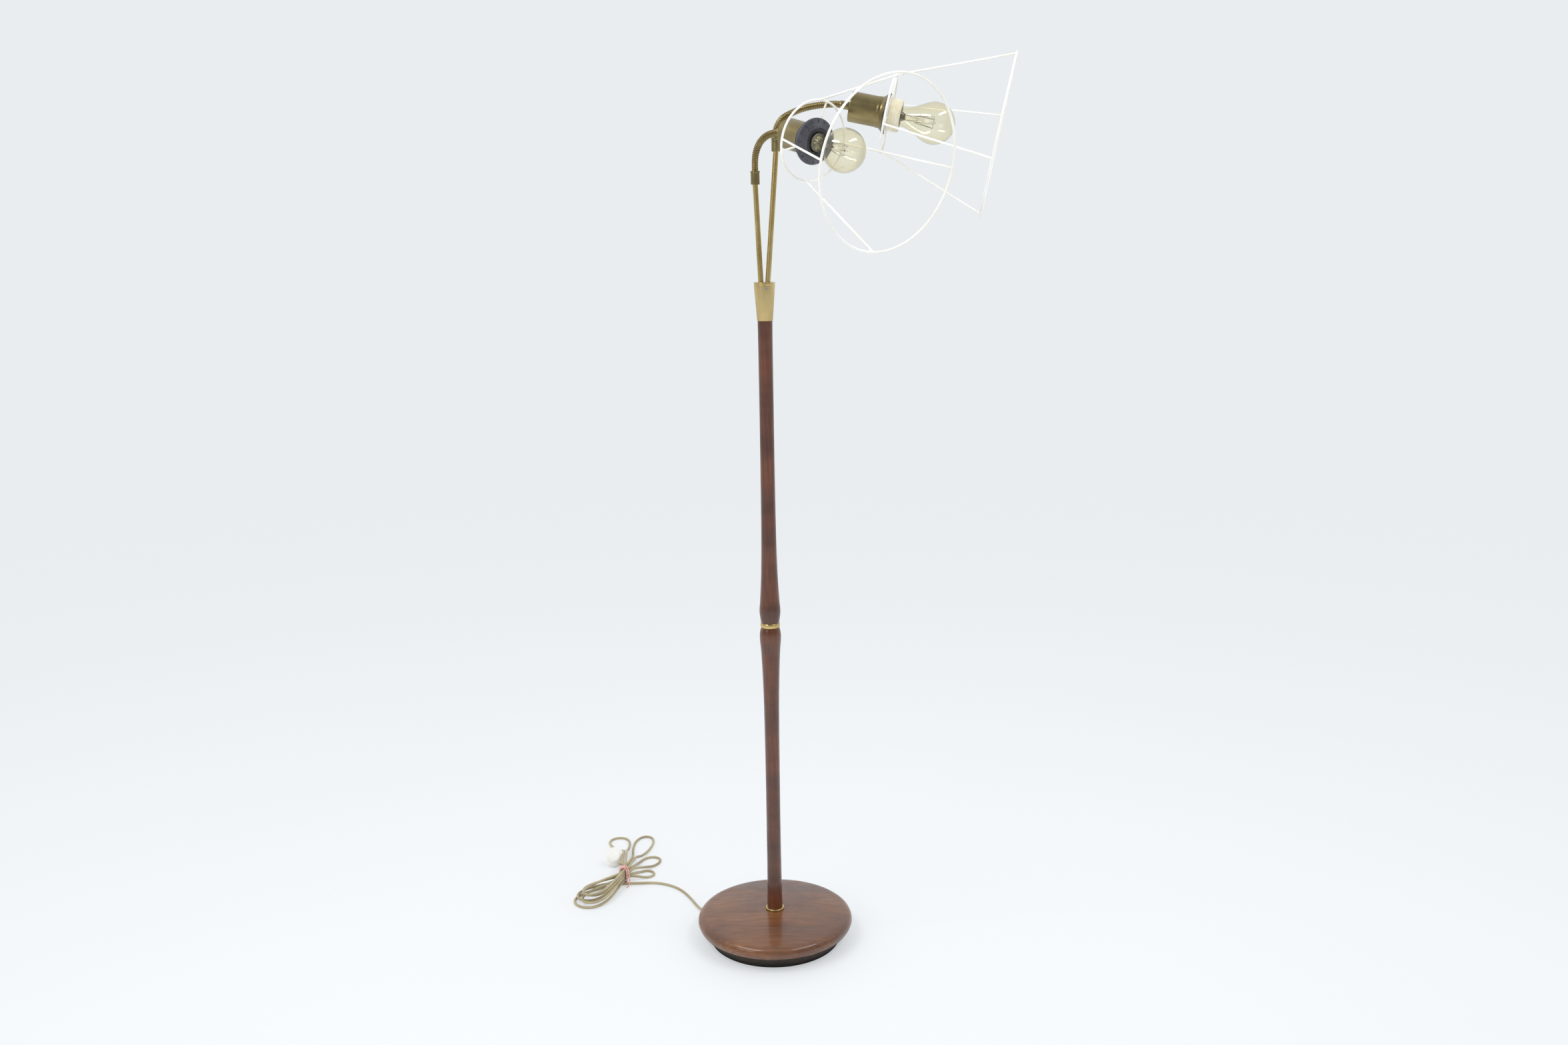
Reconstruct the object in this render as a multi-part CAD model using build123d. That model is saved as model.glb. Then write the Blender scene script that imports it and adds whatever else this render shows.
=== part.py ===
"""Twin-head floor lamp: turned wooden stand, two flexible brass arms and two bare wire cages.

Units are millimetres. The origin is the centre of the base on the floor, +Z is up, +X points
the way the right-hand arm reaches and -Y is the front, which the left-hand arm leans towards.
Every piece is written to parts/NODE.step.
"""

from build123d import *
import os
from math import cos, pi, radians, sin, tan

os.makedirs("parts", exist_ok=True)

# ---- driving dimensions -----------------------------------------------------------------
SLIP = 0.3                     # clearance of pieces that are only slipped together
SEAT = 0.05                    # clearance of pieces that fit closely
WIRE_SIDES = 6                 # faces of every wire, lead and cord
NECK_SIDES = 12                # faces of the flexible necks

# Base: a turned wooden disc with an undercut foot, an iron ring and a felt sheet below it.
BASE_RADIUS = 125.0
BASE_TOP_Z = 47.5
BASE_WIDEST_Z = 29.0
SHOULDER_RADIUS = 112.0        # where the flat dome turns into the rounded edge
SHOULDER_Z = 41.2
LOWER_EDGE_RADIUS = 122.3
LOWER_EDGE_Z = 22.5
FOOT_RADIUS = 105.0
FELT_THICKNESS = 3.0
RECESS_RADIUS = 96.0
RECESS_CEILING_Z = 24.0
WEIGHT_THICKNESS = 14.0
WEIGHT_EYE_RADIUS = 27.0
FLANGE_RADIUS = 20.0
FLANGE_THICKNESS = 3.0
FLANGE_HUB_RADIUS = 9.0
FLANGE_HUB_LENGTH = 7.0

# Stem: two turned lengths with a brass ring between them, drawn together by a steel tube.
TIE_RADIUS = 5.0
TIE_BORE_RADIUS = 2.6
TIE_THREAD_ABOVE_NUT = 2.0
FOOT_RING_RADIUS = 15.0
FOOT_RING_HEIGHT = 3.2
FOOT_RING_BEVEL = 1.2
JOINT_RING_RADIUS = 15.1
JOINT_RING_HEIGHT = 8.0
JOINT_RING_BEVEL = 2.4
JOINT_RING_Z = 523.0
STEM_TOP_Z = 1004.0
STEM_END_RADIUS = 14.2         # both lengths, where they meet the joint ring
LOWER_STEM_RADII = ((12.5, 0.0), (11.4, 80.0), (11.3, 215.0), (12.0, 343.0), (14.2, 420.0), (16.7, 458.0))
UPPER_STEM_RADII = ((16.4, 18.0), (15.0, 37.0), (12.8, 79.0), (11.4, 150.0), (10.9, 260.0), (10.9, 420.0))
STEM_NECK_RADIUS = 11.2        # top of the upper length, just under the collar

# Collar: a brass cone with a floor, closed by a lid that carries the two arm tubes.
COLLAR_BOTTOM_Z = 997.0
COLLAR_TOP_Z = 1049.4
COLLAR_BOTTOM_RADIUS = 11.75
COLLAR_TOP_RADIUS = 15.85
COLLAR_WALL = 1.0
COLLAR_FLOOR = 2.0
LID_HEIGHT = 4.3
LID_STEP = 0.6                 # depth of the shadow line between lid and collar
LID_STEP_HEIGHT = 0.9
LID_SPIGOT = 7.0
GRUB_SCREW_RADIUS = 1.5
GRUB_SCREW_DROP = 4.5
GRUB_SCREW_ANGLE = -80.0       # degrees from +X, so at the front
COLLAR_NUT_RADIUS = 8.0
COLLAR_NUT_HEIGHT = 5.0
CONNECTOR_RADIUS = 9.0
CONNECTOR_Z = 1020.0
CONNECTOR_HEIGHT = 9.0

# Arm tubes and the ferrules that join them to the flexible necks.
TUBE_RADIUS = 4.0
TUBE_BORE_RADIUS = 3.1
TUBE_OFFSET = 5.2              # tube centre to stem centre at the lid
TUBE_TAIL = 14.0               # length of tube below the top of the lid
TUBE_NUT_RADIUS = 5.1
TUBE_NUT_HEIGHT = 2.5
FERRULE_RADIUS = 6.5
FERRULE_RIM_RADIUS = 6.9
FERRULE_RIM = 3.0
FERRULE_HEIGHT = 19.4
FERRULE_SOCKET = 9.0           # depth of the tube in the ferrule

# Flexible necks: short stiff lengths that hinge on each other.
NECK_RADIUS = 5.1
NECK_GAP = 1.4
CORE_RADIUS = 2.0
CORE_REACH = 3.6
CORE_SOCKET_RADIUS = 3.6

# Lampholder cup and everything in it, measured forward from the back of the cup.
CUP_RADIUS = 21.5
CUP_WALL = 1.0
CUP_LENGTH = 43.0
CUP_BEVEL = 1.8
SKIRT_RADIUS = 27.6
SKIRT_LENGTH = 8.0
NIPPLE_FLANGE_RADIUS = 9.0
NIPPLE_FLANGE = 2.2
NIPPLE_RADIUS = 6.5
HOLDER_RADIUS = 19.0
HOLDER_BACK = 12.0
HOLDER_FLOOR = 43.4
SHELL_RADIUS = 14.6
SHELL_WALL = 0.6
SHELL_LENGTH = 19.0
GASKET_RADIUS = 28.8
CONTACT_RADIUS = 4.0
CAP_RADIUS = 13.1
CAP_CONE = 4.0
CAP_LENGTH = 25.0
BULB_TIP = 152.5
BULB_RADIUS = 30.0
BULB_NECK_RADIUS = 13.6
BULB_THROAT = 8.0
GLASS_WALL = 0.9
STEM_GLASS_RADIUS = 5.0
FILAMENT_FOOT = 26.0
FILAMENT_TOP = 56.0
FILAMENT_POST_RADIUS = 1.2
FILAMENT_RADIUS = 8.0
FILAMENT_WIDEST = 0.7          # share of the way up at which the filament is widest
FILAMENT_WIRES = 6
FILAMENT_WIRE = 0.6

# Cage: two rings joined by four ribs, with arms to the carrier that the shade ring clamps.
RING_WIRE_RADIUS = 1.65
RIB_WIRE_RADIUS = 1.5
FRONT_RING_RADIUS = 116.0
REAR_RING_RADIUS = 55.5
CAGE_LENGTH = 159.0
RIB_COUNT = 4
CARRIER_AT = 55.8              # middle of the cage's small ring and its carrier
CARRIER_OUTER = 27.0
CARRIER_INNER = 19.9
CARRIER_THICKNESS = 1.6
ARM_COUNT = 3
ARM_WIDTH = 3.0
ARM_TURN = -15.0

# Cord, tie and plug. The route is chosen by hand on the floor behind and left of the base.
CORD_RADIUS = 2.2
BUSH_CLEARANCE = 0.2
GLAND_ANGLE = 150.0            # degrees from +X, seen from above
GLAND_Z = 7.6
GLAND_RADIUS = 4.2
GLAND_BACK = 97.0              # distance of its inner and outer ends from the stem's axis
GLAND_FRONT = 116.0
FIRST_RUN = 16.0
LEAD_TURN_RADIUS = 11.0
CORD_ROUTE = (
    (-128.5, 86.0, 3.2),
    (-145.0, 125.0, 2.2),
    (-163.0, 158.0, 2.2),
    (-187.0, 179.0, 2.2),
    (-214.0, 188.0, 2.4),
    (-240.0, 183.4, 4.4),
    (-260.8, 183.4, 4.4),      # square onto the side of the hank's waist
)
HANK_HEIGHT = 12.0             # of the fanned loops
WAIST_HEIGHT = 20.0            # of the strands stacked inside the tie
UPPER_LOOPS = (                # outline of the loops beyond the tie, round their tips
    (-262.0, 200.0), (-230.0, 222.0), (-221.0, 245.0), (-221.0, 290.0), (-236.0, 318.0),
    (-246.0, 372.0), (-262.0, 384.0), (-272.0, 376.0), (-292.0, 380.0), (-312.0, 362.0),
    (-313.0, 335.0), (-296.0, 302.0), (-271.0, 286.0), (-269.0, 262.0), (-274.0, 200.0),
)
LOWER_LOOPS = (                # outline of the loops on the lamp's side of the tie
    (-262.0, 182.0), (-282.0, 125.0), (-305.0, 92.0), (-335.0, 100.0), (-346.0, 128.0),
    (-325.0, 165.0), (-274.0, 182.0),
)
TIE_MIDDLE = (-268.0, 191.0)
TIE_LENGTH = 10.0
TIE_INNER_WIDTH = 15.0
TIE_WALL = 1.6
PLUG_RADIUS = 17.5
PLUG_THICKNESS = 16.0
PLUG_BACK_RADIUS = 10.5
PLUG_RIM = 8.0                 # height of the plug's straight rim
PLUG_ENTRY = 4.0               # the cord enters the rim this far behind the face
PLUG_LEAD_END = (-262.0, 247.0, 5.0)
PLUG_FACE = (-292.0, 266.0)
PLUG_TILT = 38.0               # the plug leans back on its pins by this much
PIN_RADIUS = 2.4
PIN_LENGTH = 19.0
PIN_SPACING = 19.0
PIN_SIDES = 8


class Side:
    """One arm of the lamp: where it leaves the lid, how it bends and where its head points."""

    def __init__(self, name, tube_side, splay, ferrule_top_z, azimuth, droop, neck_lengths, rib_turn,
                 ring_radius, ring_front):
        self.name = name
        self.tube_x = tube_side * TUBE_OFFSET   # where the tube leaves the lid, left is negative
        self.ferrule_top_z = ferrule_top_z
        self.turn = radians(90.0 + droop)       # whole bend of the neck from upright
        self.neck_lengths = neck_lengths        # between bend centres, from the ferrule's top
        self.rib_turn = rib_turn                # degrees of the first rib from the top
        self.ring_radius = ring_radius          # the shade ring, and how far it and the
        self.ring_front = ring_front            # holder reach from the back of the cup
        rise = ferrule_top_z - FERRULE_HEIGHT - LID_TOP_Z
        self.top = Vector(self.tube_x + tube_side * rise * tan(radians(splay)), 0, ferrule_top_z)
        self.out = Vector(cos(radians(azimuth)), -sin(radians(azimuth)), 0)
        self.bends, self.ways = self._chain()
        self.axis = self.ways[-1]
        self.back = self.bends[-1] + self.axis * neck_lengths[-1]
        upright = (Vector(0, 0, 1) - self.axis * self.axis.Z).normalized()
        self.frame = Plane(origin=self.back, x_dir=upright, z_dir=self.axis)

    def _chain(self):
        """Bend centres of the neck and the direction of each stiff length."""
        step = self.turn / (len(self.neck_lengths) - 1)
        points, ways = [], []
        here = self.top
        for number, length in enumerate(self.neck_lengths):
            way = self.out * sin(number * step) + Vector(0, 0, 1) * cos(number * step)
            ways.append(way)
            here = here + way * length
            points.append(here)
        return points[:-1], ways

    def place(self, shape):
        """Moves a shape that was made round Z into the head's frame."""
        return self.frame.location * shape


LID_TOP_Z = COLLAR_TOP_Z + LID_HEIGHT
COLLAR_FLOOR_Z = STEM_TOP_Z + COLLAR_FLOOR
SPIGOT_Z = COLLAR_TOP_Z - LID_SPIGOT
TIE_HOLE_RADIUS = TIE_RADIUS + SLIP
TIE_BOTTOM_Z = RECESS_CEILING_Z - FLANGE_HUB_LENGTH
TIE_TOP_Z = COLLAR_FLOOR_Z + COLLAR_NUT_HEIGHT + TIE_THREAD_ABOVE_NUT
CAP_FRONT = HOLDER_FLOOR + CAP_LENGTH
SKIRT_FRONT = CUP_LENGTH + SKIRT_LENGTH
LEFT_NECK = (16.5, 11.5, 11.5, 11.5, 17.0, 30.0, 16.0)
RIGHT_NECK = (8.5, 9.0, 9.0, 9.0, 32.0, 43.4, 21.5)
LEFT = Side("left", -1, 2.3, 1213.6, 52.0, 12.9, LEFT_NECK, -2.3, 32.0, 66.0)
RIGHT = Side("right", 1, 4.5, 1260.0, 8.2, 12.2, RIGHT_NECK, 17.4, 23.5, 74.0)
SIDES = (LEFT, RIGHT)


def save(name, *shapes):
    """Writes one piece, or a group of pieces that stay separate solids, as parts/NAME.step."""
    solids = [solid for shape in shapes for solid in shape.solids()]
    body = solids[0] if len(solids) == 1 else Compound(children=solids)
    body.label = name
    export_step(body, f"parts/{name}.step")


def turned(*edges):
    """Solid of revolution about Z from a closed outline of (radius, height) edges."""
    return revolve(Plane.XZ * make_face(edges), Axis.Z)


def lathe(*points):
    """Solid of revolution about Z from a closed polygon of (radius, height) points."""
    return turned(*Polyline(*points, close=True).edges())


def ring(inner, outer, low, high):
    """Plain ring or tube about Z."""
    return lathe((inner, low), (outer, low), (outer, high), (inner, high))


def rod(start, end, radius, sides=0):
    """Straight bar between two points, round or with that many faces."""
    way = end - start
    section = RegularPolygon(radius, sides) if sides else Circle(radius)
    return extrude(Plane(origin=start, z_dir=way) * section, way.length)


def along(path, radius, start, way):
    """Faceted bar along a path that leaves start in direction way."""
    return sweep(Plane(origin=start, z_dir=way) * RegularPolygon(radius, WIRE_SIDES), path)


# ---- base ---------------------------------------------------------------------------------
GLAND_WAY = Vector(cos(radians(GLAND_ANGLE)), sin(radians(GLAND_ANGLE)), 0)
GLAND_MIDDLE = Vector(0, 0, GLAND_Z)
GLAND_MOUTH = GLAND_MIDDLE + GLAND_WAY * GLAND_FRONT


def make_base_disc():
    """Wooden disc: shallow dome, rounded edge, undercut foot and a recess for the iron ring."""
    dome = TangentArc((TIE_HOLE_RADIUS, BASE_TOP_Z), (SHOULDER_RADIUS, SHOULDER_Z), tangent=(1, 0))
    widest = (BASE_RADIUS, BASE_WIDEST_Z)
    shoulder = Spline((SHOULDER_RADIUS, SHOULDER_Z), widest, tangents=(dome % 1, (0, -1)))
    lip = TangentArc(widest, (LOWER_EDGE_RADIUS, LOWER_EDGE_Z), tangent=(0, -1))
    rest = Polyline(
        (LOWER_EDGE_RADIUS, LOWER_EDGE_Z),
        (FOOT_RADIUS, FELT_THICKNESS),
        (RECESS_RADIUS, FELT_THICKNESS),
        (RECESS_RADIUS, RECESS_CEILING_Z),
        (TIE_HOLE_RADIUS, RECESS_CEILING_Z),
        (TIE_HOLE_RADIUS, BASE_TOP_Z),
    )
    disc = turned(dome, shoulder, lip, *rest.edges())
    hole_start = GLAND_MIDDLE + GLAND_WAY * (RECESS_RADIUS - FELT_THICKNESS)
    hole_end = GLAND_MIDDLE + GLAND_WAY * BASE_RADIUS
    save("base_disc", disc - rod(hole_start, hole_end, GLAND_RADIUS + SEAT))


def make_base_fittings():
    """Iron ring, felt sheet, flange nut of the tie tube and the cord's bush."""
    low = RECESS_CEILING_Z - WEIGHT_THICKNESS
    save("base_weight", ring(WEIGHT_EYE_RADIUS, RECESS_RADIUS - SLIP, low, RECESS_CEILING_Z))
    save("base_felt", extrude(Circle(FOOT_RADIUS), FELT_THICKNESS))
    flange = ring(TIE_RADIUS, FLANGE_RADIUS, RECESS_CEILING_Z - FLANGE_THICKNESS, RECESS_CEILING_Z)
    hub = extrude(RegularPolygon(FLANGE_HUB_RADIUS, 6) - Circle(TIE_RADIUS), FLANGE_HUB_LENGTH)
    save("base_flange_nut", flange + Location((0, 0, TIE_BOTTOM_Z)) * hub)
    bush = rod(GLAND_MIDDLE + GLAND_WAY * GLAND_BACK, GLAND_MOUTH, GLAND_RADIUS)
    save("cord_bush", bush - rod(GLAND_MIDDLE, GLAND_MOUTH + GLAND_WAY, CORD_RADIUS + BUSH_CLEARANCE))


# ---- stem ---------------------------------------------------------------------------------
def collar_inner(z):
    """Inside radius of the collar's cone at height z."""
    share = (z - COLLAR_BOTTOM_Z) / (COLLAR_TOP_Z - COLLAR_BOTTOM_Z)
    return COLLAR_BOTTOM_RADIUS + share * (COLLAR_TOP_RADIUS - COLLAR_BOTTOM_RADIUS) - COLLAR_WALL


def make_stem():
    """Foot ring, two turned lengths of wood, the ring between them and the steel tie tube."""
    foot_z = BASE_TOP_Z + FOOT_RING_HEIGHT
    save("foot_ring", lathe(
        (TIE_HOLE_RADIUS, BASE_TOP_Z), (FOOT_RING_RADIUS, BASE_TOP_Z),
        (FOOT_RING_RADIUS, foot_z - FOOT_RING_BEVEL), (FOOT_RING_RADIUS - FOOT_RING_BEVEL, foot_z),
        (TIE_HOLE_RADIUS, foot_z),
    ))
    side = Spline(*[(r, foot_z + z) for r, z in LOWER_STEM_RADII], (STEM_END_RADIUS, JOINT_RING_Z))
    ends = Polyline(
        (STEM_END_RADIUS, JOINT_RING_Z), (TIE_HOLE_RADIUS, JOINT_RING_Z),
        (TIE_HOLE_RADIUS, foot_z), (LOWER_STEM_RADII[0][0], foot_z),
    )
    save("lower_stem", turned(side, *ends.edges()))

    low = JOINT_RING_Z + JOINT_RING_HEIGHT
    flat = JOINT_RING_RADIUS - JOINT_RING_BEVEL
    save("joint_ring", lathe(
        (TIE_HOLE_RADIUS, JOINT_RING_Z), (flat, JOINT_RING_Z),
        (JOINT_RING_RADIUS, JOINT_RING_Z + JOINT_RING_BEVEL), (JOINT_RING_RADIUS, low - JOINT_RING_BEVEL),
        (flat, low), (TIE_HOLE_RADIUS, low),
    ))
    tenon = collar_inner(COLLAR_BOTTOM_Z) - SEAT
    neck = (STEM_NECK_RADIUS, COLLAR_BOTTOM_Z)
    side = Spline((STEM_END_RADIUS, low), *[(r, low + z) for r, z in UPPER_STEM_RADII], neck)
    ends = Polyline(
        neck, (tenon, COLLAR_BOTTOM_Z), (tenon, STEM_TOP_Z),
        (TIE_HOLE_RADIUS, STEM_TOP_Z), (TIE_HOLE_RADIUS, low), (STEM_END_RADIUS, low),
    )
    save("upper_stem", turned(side, *ends.edges()))
    save("tie_tube", ring(TIE_BORE_RADIUS, TIE_RADIUS, TIE_BOTTOM_Z, TIE_TOP_Z))
    nut = extrude(RegularPolygon(COLLAR_NUT_RADIUS, 6) - Circle(TIE_RADIUS), COLLAR_NUT_HEIGHT)
    save("collar_nut", Location((0, 0, COLLAR_FLOOR_Z)) * nut)


# ---- collar -------------------------------------------------------------------------------
def make_collar():
    """Brass cone with a floor, its lid with two tube holes, the tube nuts and the grub screw."""
    cone = lathe(
        (collar_inner(COLLAR_BOTTOM_Z), COLLAR_BOTTOM_Z), (COLLAR_BOTTOM_RADIUS, COLLAR_BOTTOM_Z),
        (COLLAR_TOP_RADIUS, COLLAR_TOP_Z), (collar_inner(COLLAR_TOP_Z), COLLAR_TOP_Z),
        (collar_inner(COLLAR_FLOOR_Z), COLLAR_FLOOR_Z), (TIE_HOLE_RADIUS, COLLAR_FLOOR_Z),
        (TIE_HOLE_RADIUS, STEM_TOP_Z), (collar_inner(STEM_TOP_Z), STEM_TOP_Z),
    )
    step_radius = COLLAR_TOP_RADIUS - LID_STEP
    step_z = COLLAR_TOP_Z + LID_STEP_HEIGHT
    lid = lathe(
        (0, SPIGOT_Z), (collar_inner(SPIGOT_Z) - SEAT, SPIGOT_Z),
        (collar_inner(COLLAR_TOP_Z) - SEAT, COLLAR_TOP_Z), (step_radius, COLLAR_TOP_Z),
        (step_radius, step_z), (COLLAR_TOP_RADIUS, step_z),
        (COLLAR_TOP_RADIUS, LID_TOP_Z), (0, LID_TOP_Z),
    )
    nuts = []
    for side in SIDES:
        foot = Vector(side.tube_x, 0, SPIGOT_Z - TUBE_NUT_HEIGHT)
        lid -= rod(foot, Vector(side.tube_x, 0, LID_TOP_Z), TUBE_RADIUS + SEAT)
        nut = extrude(RegularPolygon(TUBE_NUT_RADIUS, 8) - Circle(TUBE_RADIUS + SEAT), TUBE_NUT_HEIGHT)
        nuts.append(Location(foot) * nut)
    middle = Vector(0, 0, COLLAR_TOP_Z - GRUB_SCREW_DROP)
    way = Vector(cos(radians(GRUB_SCREW_ANGLE)), sin(radians(GRUB_SCREW_ANGLE)), 0)
    tip = middle + way * collar_inner(middle.Z + GRUB_SCREW_RADIUS)
    head = tip + way * COLLAR_WALL
    save("top_collar", cone - rod(middle, head + way, GRUB_SCREW_RADIUS + SEAT))
    save("collar_lid", lid)
    save("tube_nuts", *nuts)
    save("collar_grub_screw", rod(tip, head, GRUB_SCREW_RADIUS))
    block = Location((0, 0, CONNECTOR_Z)) * extrude(RegularPolygon(CONNECTOR_RADIUS, 8), CONNECTOR_HEIGHT)
    save("lead_connector", block)


# ---- arms ---------------------------------------------------------------------------------
def tube_path(side, low):
    """Centre line of an arm tube from height low: upright in the lid, then leaning, then upright."""
    ferrule_low = side.ferrule_top_z - FERRULE_HEIGHT
    return Polyline(
        (side.tube_x, 0, low), (side.tube_x, 0, LID_TOP_Z),
        (side.top.X, 0, ferrule_low), (side.top.X, 0, ferrule_low + FERRULE_SOCKET),
    )


def make_leads():
    """Leads: from the cord's bush under the iron ring and up the stem, and one up each arm."""
    turn_start = GLAND_MIDDLE + GLAND_WAY * LEAD_TURN_RADIUS
    turn_end = Vector(0, 0, GLAND_Z + LEAD_TURN_RADIUS)
    stem_path = Wire([
        Line(GLAND_MOUTH, turn_start),
        TangentArc(turn_start, turn_end, tangent=GLAND_WAY * -1),
        Line(turn_end, Vector(0, 0, CONNECTOR_Z)),
    ])
    leads = [along(stem_path, CORD_RADIUS, GLAND_MOUTH, GLAND_WAY * -1)]
    up = Vector(0, 0, 1)
    for side in SIDES:
        low = CONNECTOR_Z + CONNECTOR_HEIGHT
        section = RegularPolygon(TUBE_BORE_RADIUS - SLIP, WIRE_SIDES)
        start = Plane(origin=(side.tube_x, 0, low), z_dir=up)
        leads.append(sweep(start * section, tube_path(side, low), transition=Transition.RIGHT))
    save("inner_leads", *leads)


def make_arm(side):
    """Brass arm tube, and the ferrule with the first stiff length of the neck brazed into it."""
    low = LID_TOP_Z - TUBE_TAIL
    start = Plane(origin=(side.tube_x, 0, low), z_dir=(0, 0, 1))
    wall = Circle(TUBE_RADIUS) - Circle(TUBE_BORE_RADIUS)
    save(f"arm_tube_{side.name}", sweep(start * wall, tube_path(side, low), transition=Transition.RIGHT))
    bore = TUBE_RADIUS + SEAT
    bottom = -FERRULE_HEIGHT
    ferrule = lathe(
        (bore, bottom), (FERRULE_RADIUS, bottom), (FERRULE_RADIUS, -FERRULE_RIM),
        (FERRULE_RIM_RADIUS, -FERRULE_RIM / 2), (FERRULE_RIM_RADIUS, 0), (0, 0),
        (0, bottom + FERRULE_SOCKET), (bore, bottom + FERRULE_SOCKET),
    )
    save(f"ferrule_{side.name}", Location(side.top) * ferrule + neck_length(side, 0))


def neck_length(side, number):
    """One stiff length of a neck, mitred where it hinges, with a core that reaches onwards."""
    ways = side.ways
    way = ways[number]
    start = side.bends[number - 1] if number else side.top
    last = number == len(ways) - 1
    end = side.back + way * CUP_WALL if last else side.bends[number]
    spare = way * NECK_RADIUS
    length = rod(start - spare if number else start, end if last else end + spare, NECK_RADIUS, NECK_SIDES)
    if number:
        across = (ways[number - 1] + way).normalized()
        length = split(length, Plane(origin=start + across * NECK_GAP / 2, z_dir=across), keep=Keep.TOP)
        length -= rod(start - way, start + way * (CORE_REACH + SLIP), CORE_SOCKET_RADIUS, WIRE_SIDES)
    if not last:
        onward = ways[number + 1]
        across = (way + onward).normalized()
        length = split(length, Plane(origin=end - across * NECK_GAP / 2, z_dir=across), keep=Keep.BOTTOM)
        length += rod(end - onward * NECK_GAP, end + onward * CORE_REACH, CORE_RADIUS, WIRE_SIDES)
    return length


def make_neck(side):
    """The hinged lengths of a neck; the last one ends in the flanged nipple inside the cup."""
    last = len(side.ways) - 1
    for number in range(1, last):
        save(f"neck_{side.name}_{number}", neck_length(side, number))
    nipple = lathe(
        (0, CUP_WALL), (NIPPLE_FLANGE_RADIUS, CUP_WALL), (NIPPLE_FLANGE_RADIUS, CUP_WALL + NIPPLE_FLANGE),
        (NIPPLE_RADIUS, CUP_WALL + NIPPLE_FLANGE), (NIPPLE_RADIUS, HOLDER_BACK), (0, HOLDER_BACK),
    )
    save(f"neck_{side.name}_{last}", neck_length(side, last) + side.place(nipple))


# ---- heads --------------------------------------------------------------------------------
def make_cup(side):
    """Spun brass cup with a flared skirt."""
    hole = NECK_RADIUS + SEAT
    inner = CUP_RADIUS - CUP_WALL
    save(f"cup_{side.name}", side.place(lathe(
        (CUP_RADIUS - CUP_BEVEL, 0), (CUP_RADIUS, CUP_BEVEL), (CUP_RADIUS, CUP_LENGTH),
        (SKIRT_RADIUS, SKIRT_FRONT), (SKIRT_RADIUS - CUP_WALL, SKIRT_FRONT), (inner, CUP_LENGTH + CUP_WALL),
        (inner, CUP_WALL), (hole, CUP_WALL), (hole, 0),
    )))


def make_holder(side):
    """Lampholder body with its threaded front, the screw shell in it, the gasket and the shade ring."""
    bore = SHELL_RADIUS + SEAT
    save(f"holder_{side.name}", side.place(lathe(
        (0, HOLDER_BACK), (HOLDER_RADIUS, HOLDER_BACK), (HOLDER_RADIUS, side.ring_front), (bore, side.ring_front),
        (bore, HOLDER_FLOOR), (0, HOLDER_FLOOR),
    )))
    shell = ring(SHELL_RADIUS - SHELL_WALL, SHELL_RADIUS, HOLDER_FLOOR, HOLDER_FLOOR + SHELL_LENGTH)
    save(f"holder_shell_{side.name}", side.place(shell))
    carrier_back = CARRIER_AT - CARRIER_THICKNESS / 2
    gasket = ring(HOLDER_RADIUS + SLIP, GASKET_RADIUS, SKIRT_FRONT, carrier_back)
    save(f"shade_gasket_{side.name}", side.place(gasket))
    clamp = ring(HOLDER_RADIUS + SEAT, side.ring_radius, CARRIER_AT + CARRIER_THICKNESS / 2, side.ring_front)
    save(f"shade_ring_{side.name}", side.place(clamp))


def glass_outline(shrink):
    """Outline of the bulb's glass: straight throat, swelling shoulder and round front."""
    throat_radius, widest_radius = BULB_NECK_RADIUS - shrink, BULB_RADIUS - shrink
    middle = BULB_TIP - BULB_RADIUS
    throat, widest = (throat_radius, CAP_FRONT + BULB_THROAT), (widest_radius, middle)
    slant = widest_radius * sin(pi / 4)
    return [
        Line((throat_radius, CAP_FRONT), throat),
        Spline(throat, widest, tangents=((0, 1), (0, 1))),
        ThreePointArc(widest, (slant, middle + slant), (0, middle + widest_radius)),
    ]


def make_bulb(side):
    """Screw cap, clear glass envelope and the filament on its glass stem."""
    save(f"bulb_cap_{side.name}", side.place(lathe(
        (0, HOLDER_FLOOR), (CONTACT_RADIUS, HOLDER_FLOOR), (CAP_RADIUS, HOLDER_FLOOR + CAP_CONE),
        (CAP_RADIUS, CAP_FRONT), (0, CAP_FRONT),
    )))
    rim = Line((BULB_NECK_RADIUS - GLASS_WALL, CAP_FRONT), (BULB_NECK_RADIUS, CAP_FRONT))
    tip = Line((0, BULB_TIP - GLASS_WALL), (0, BULB_TIP))
    glass = turned(rim, *glass_outline(0), tip, *glass_outline(GLASS_WALL))
    save(f"bulb_glass_{side.name}", side.place(glass))

    foot = Vector(0, 0, CAP_FRONT)
    filament = rod(foot, foot + Vector(0, 0, FILAMENT_FOOT), STEM_GLASS_RADIUS, WIRE_SIDES)
    filament += rod(foot, foot + Vector(0, 0, FILAMENT_TOP), FILAMENT_POST_RADIUS, WIRE_SIDES)
    for number in range(FILAMENT_WIRES):
        spoke = Vector(1, 0, 0).rotate(Axis.Z, 360 / FILAMENT_WIRES * number)
        low = foot + Vector(0, 0, FILAMENT_FOOT - FILAMENT_POST_RADIUS)
        wide = foot + spoke * FILAMENT_RADIUS + Vector(0, 0, FILAMENT_TOP * FILAMENT_WIDEST)
        high = foot + Vector(0, 0, FILAMENT_TOP - FILAMENT_POST_RADIUS)
        filament += rod(low, wide, FILAMENT_WIRE, 4)
        filament += rod(wide, high, FILAMENT_WIRE, 4)
    save(f"bulb_filament_{side.name}", side.place(filament))


# ---- cages --------------------------------------------------------------------------------
SPREAD = Vector(FRONT_RING_RADIUS - REAR_RING_RADIUS, 0, CAGE_LENGTH).normalized()   # way of a rib


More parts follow.
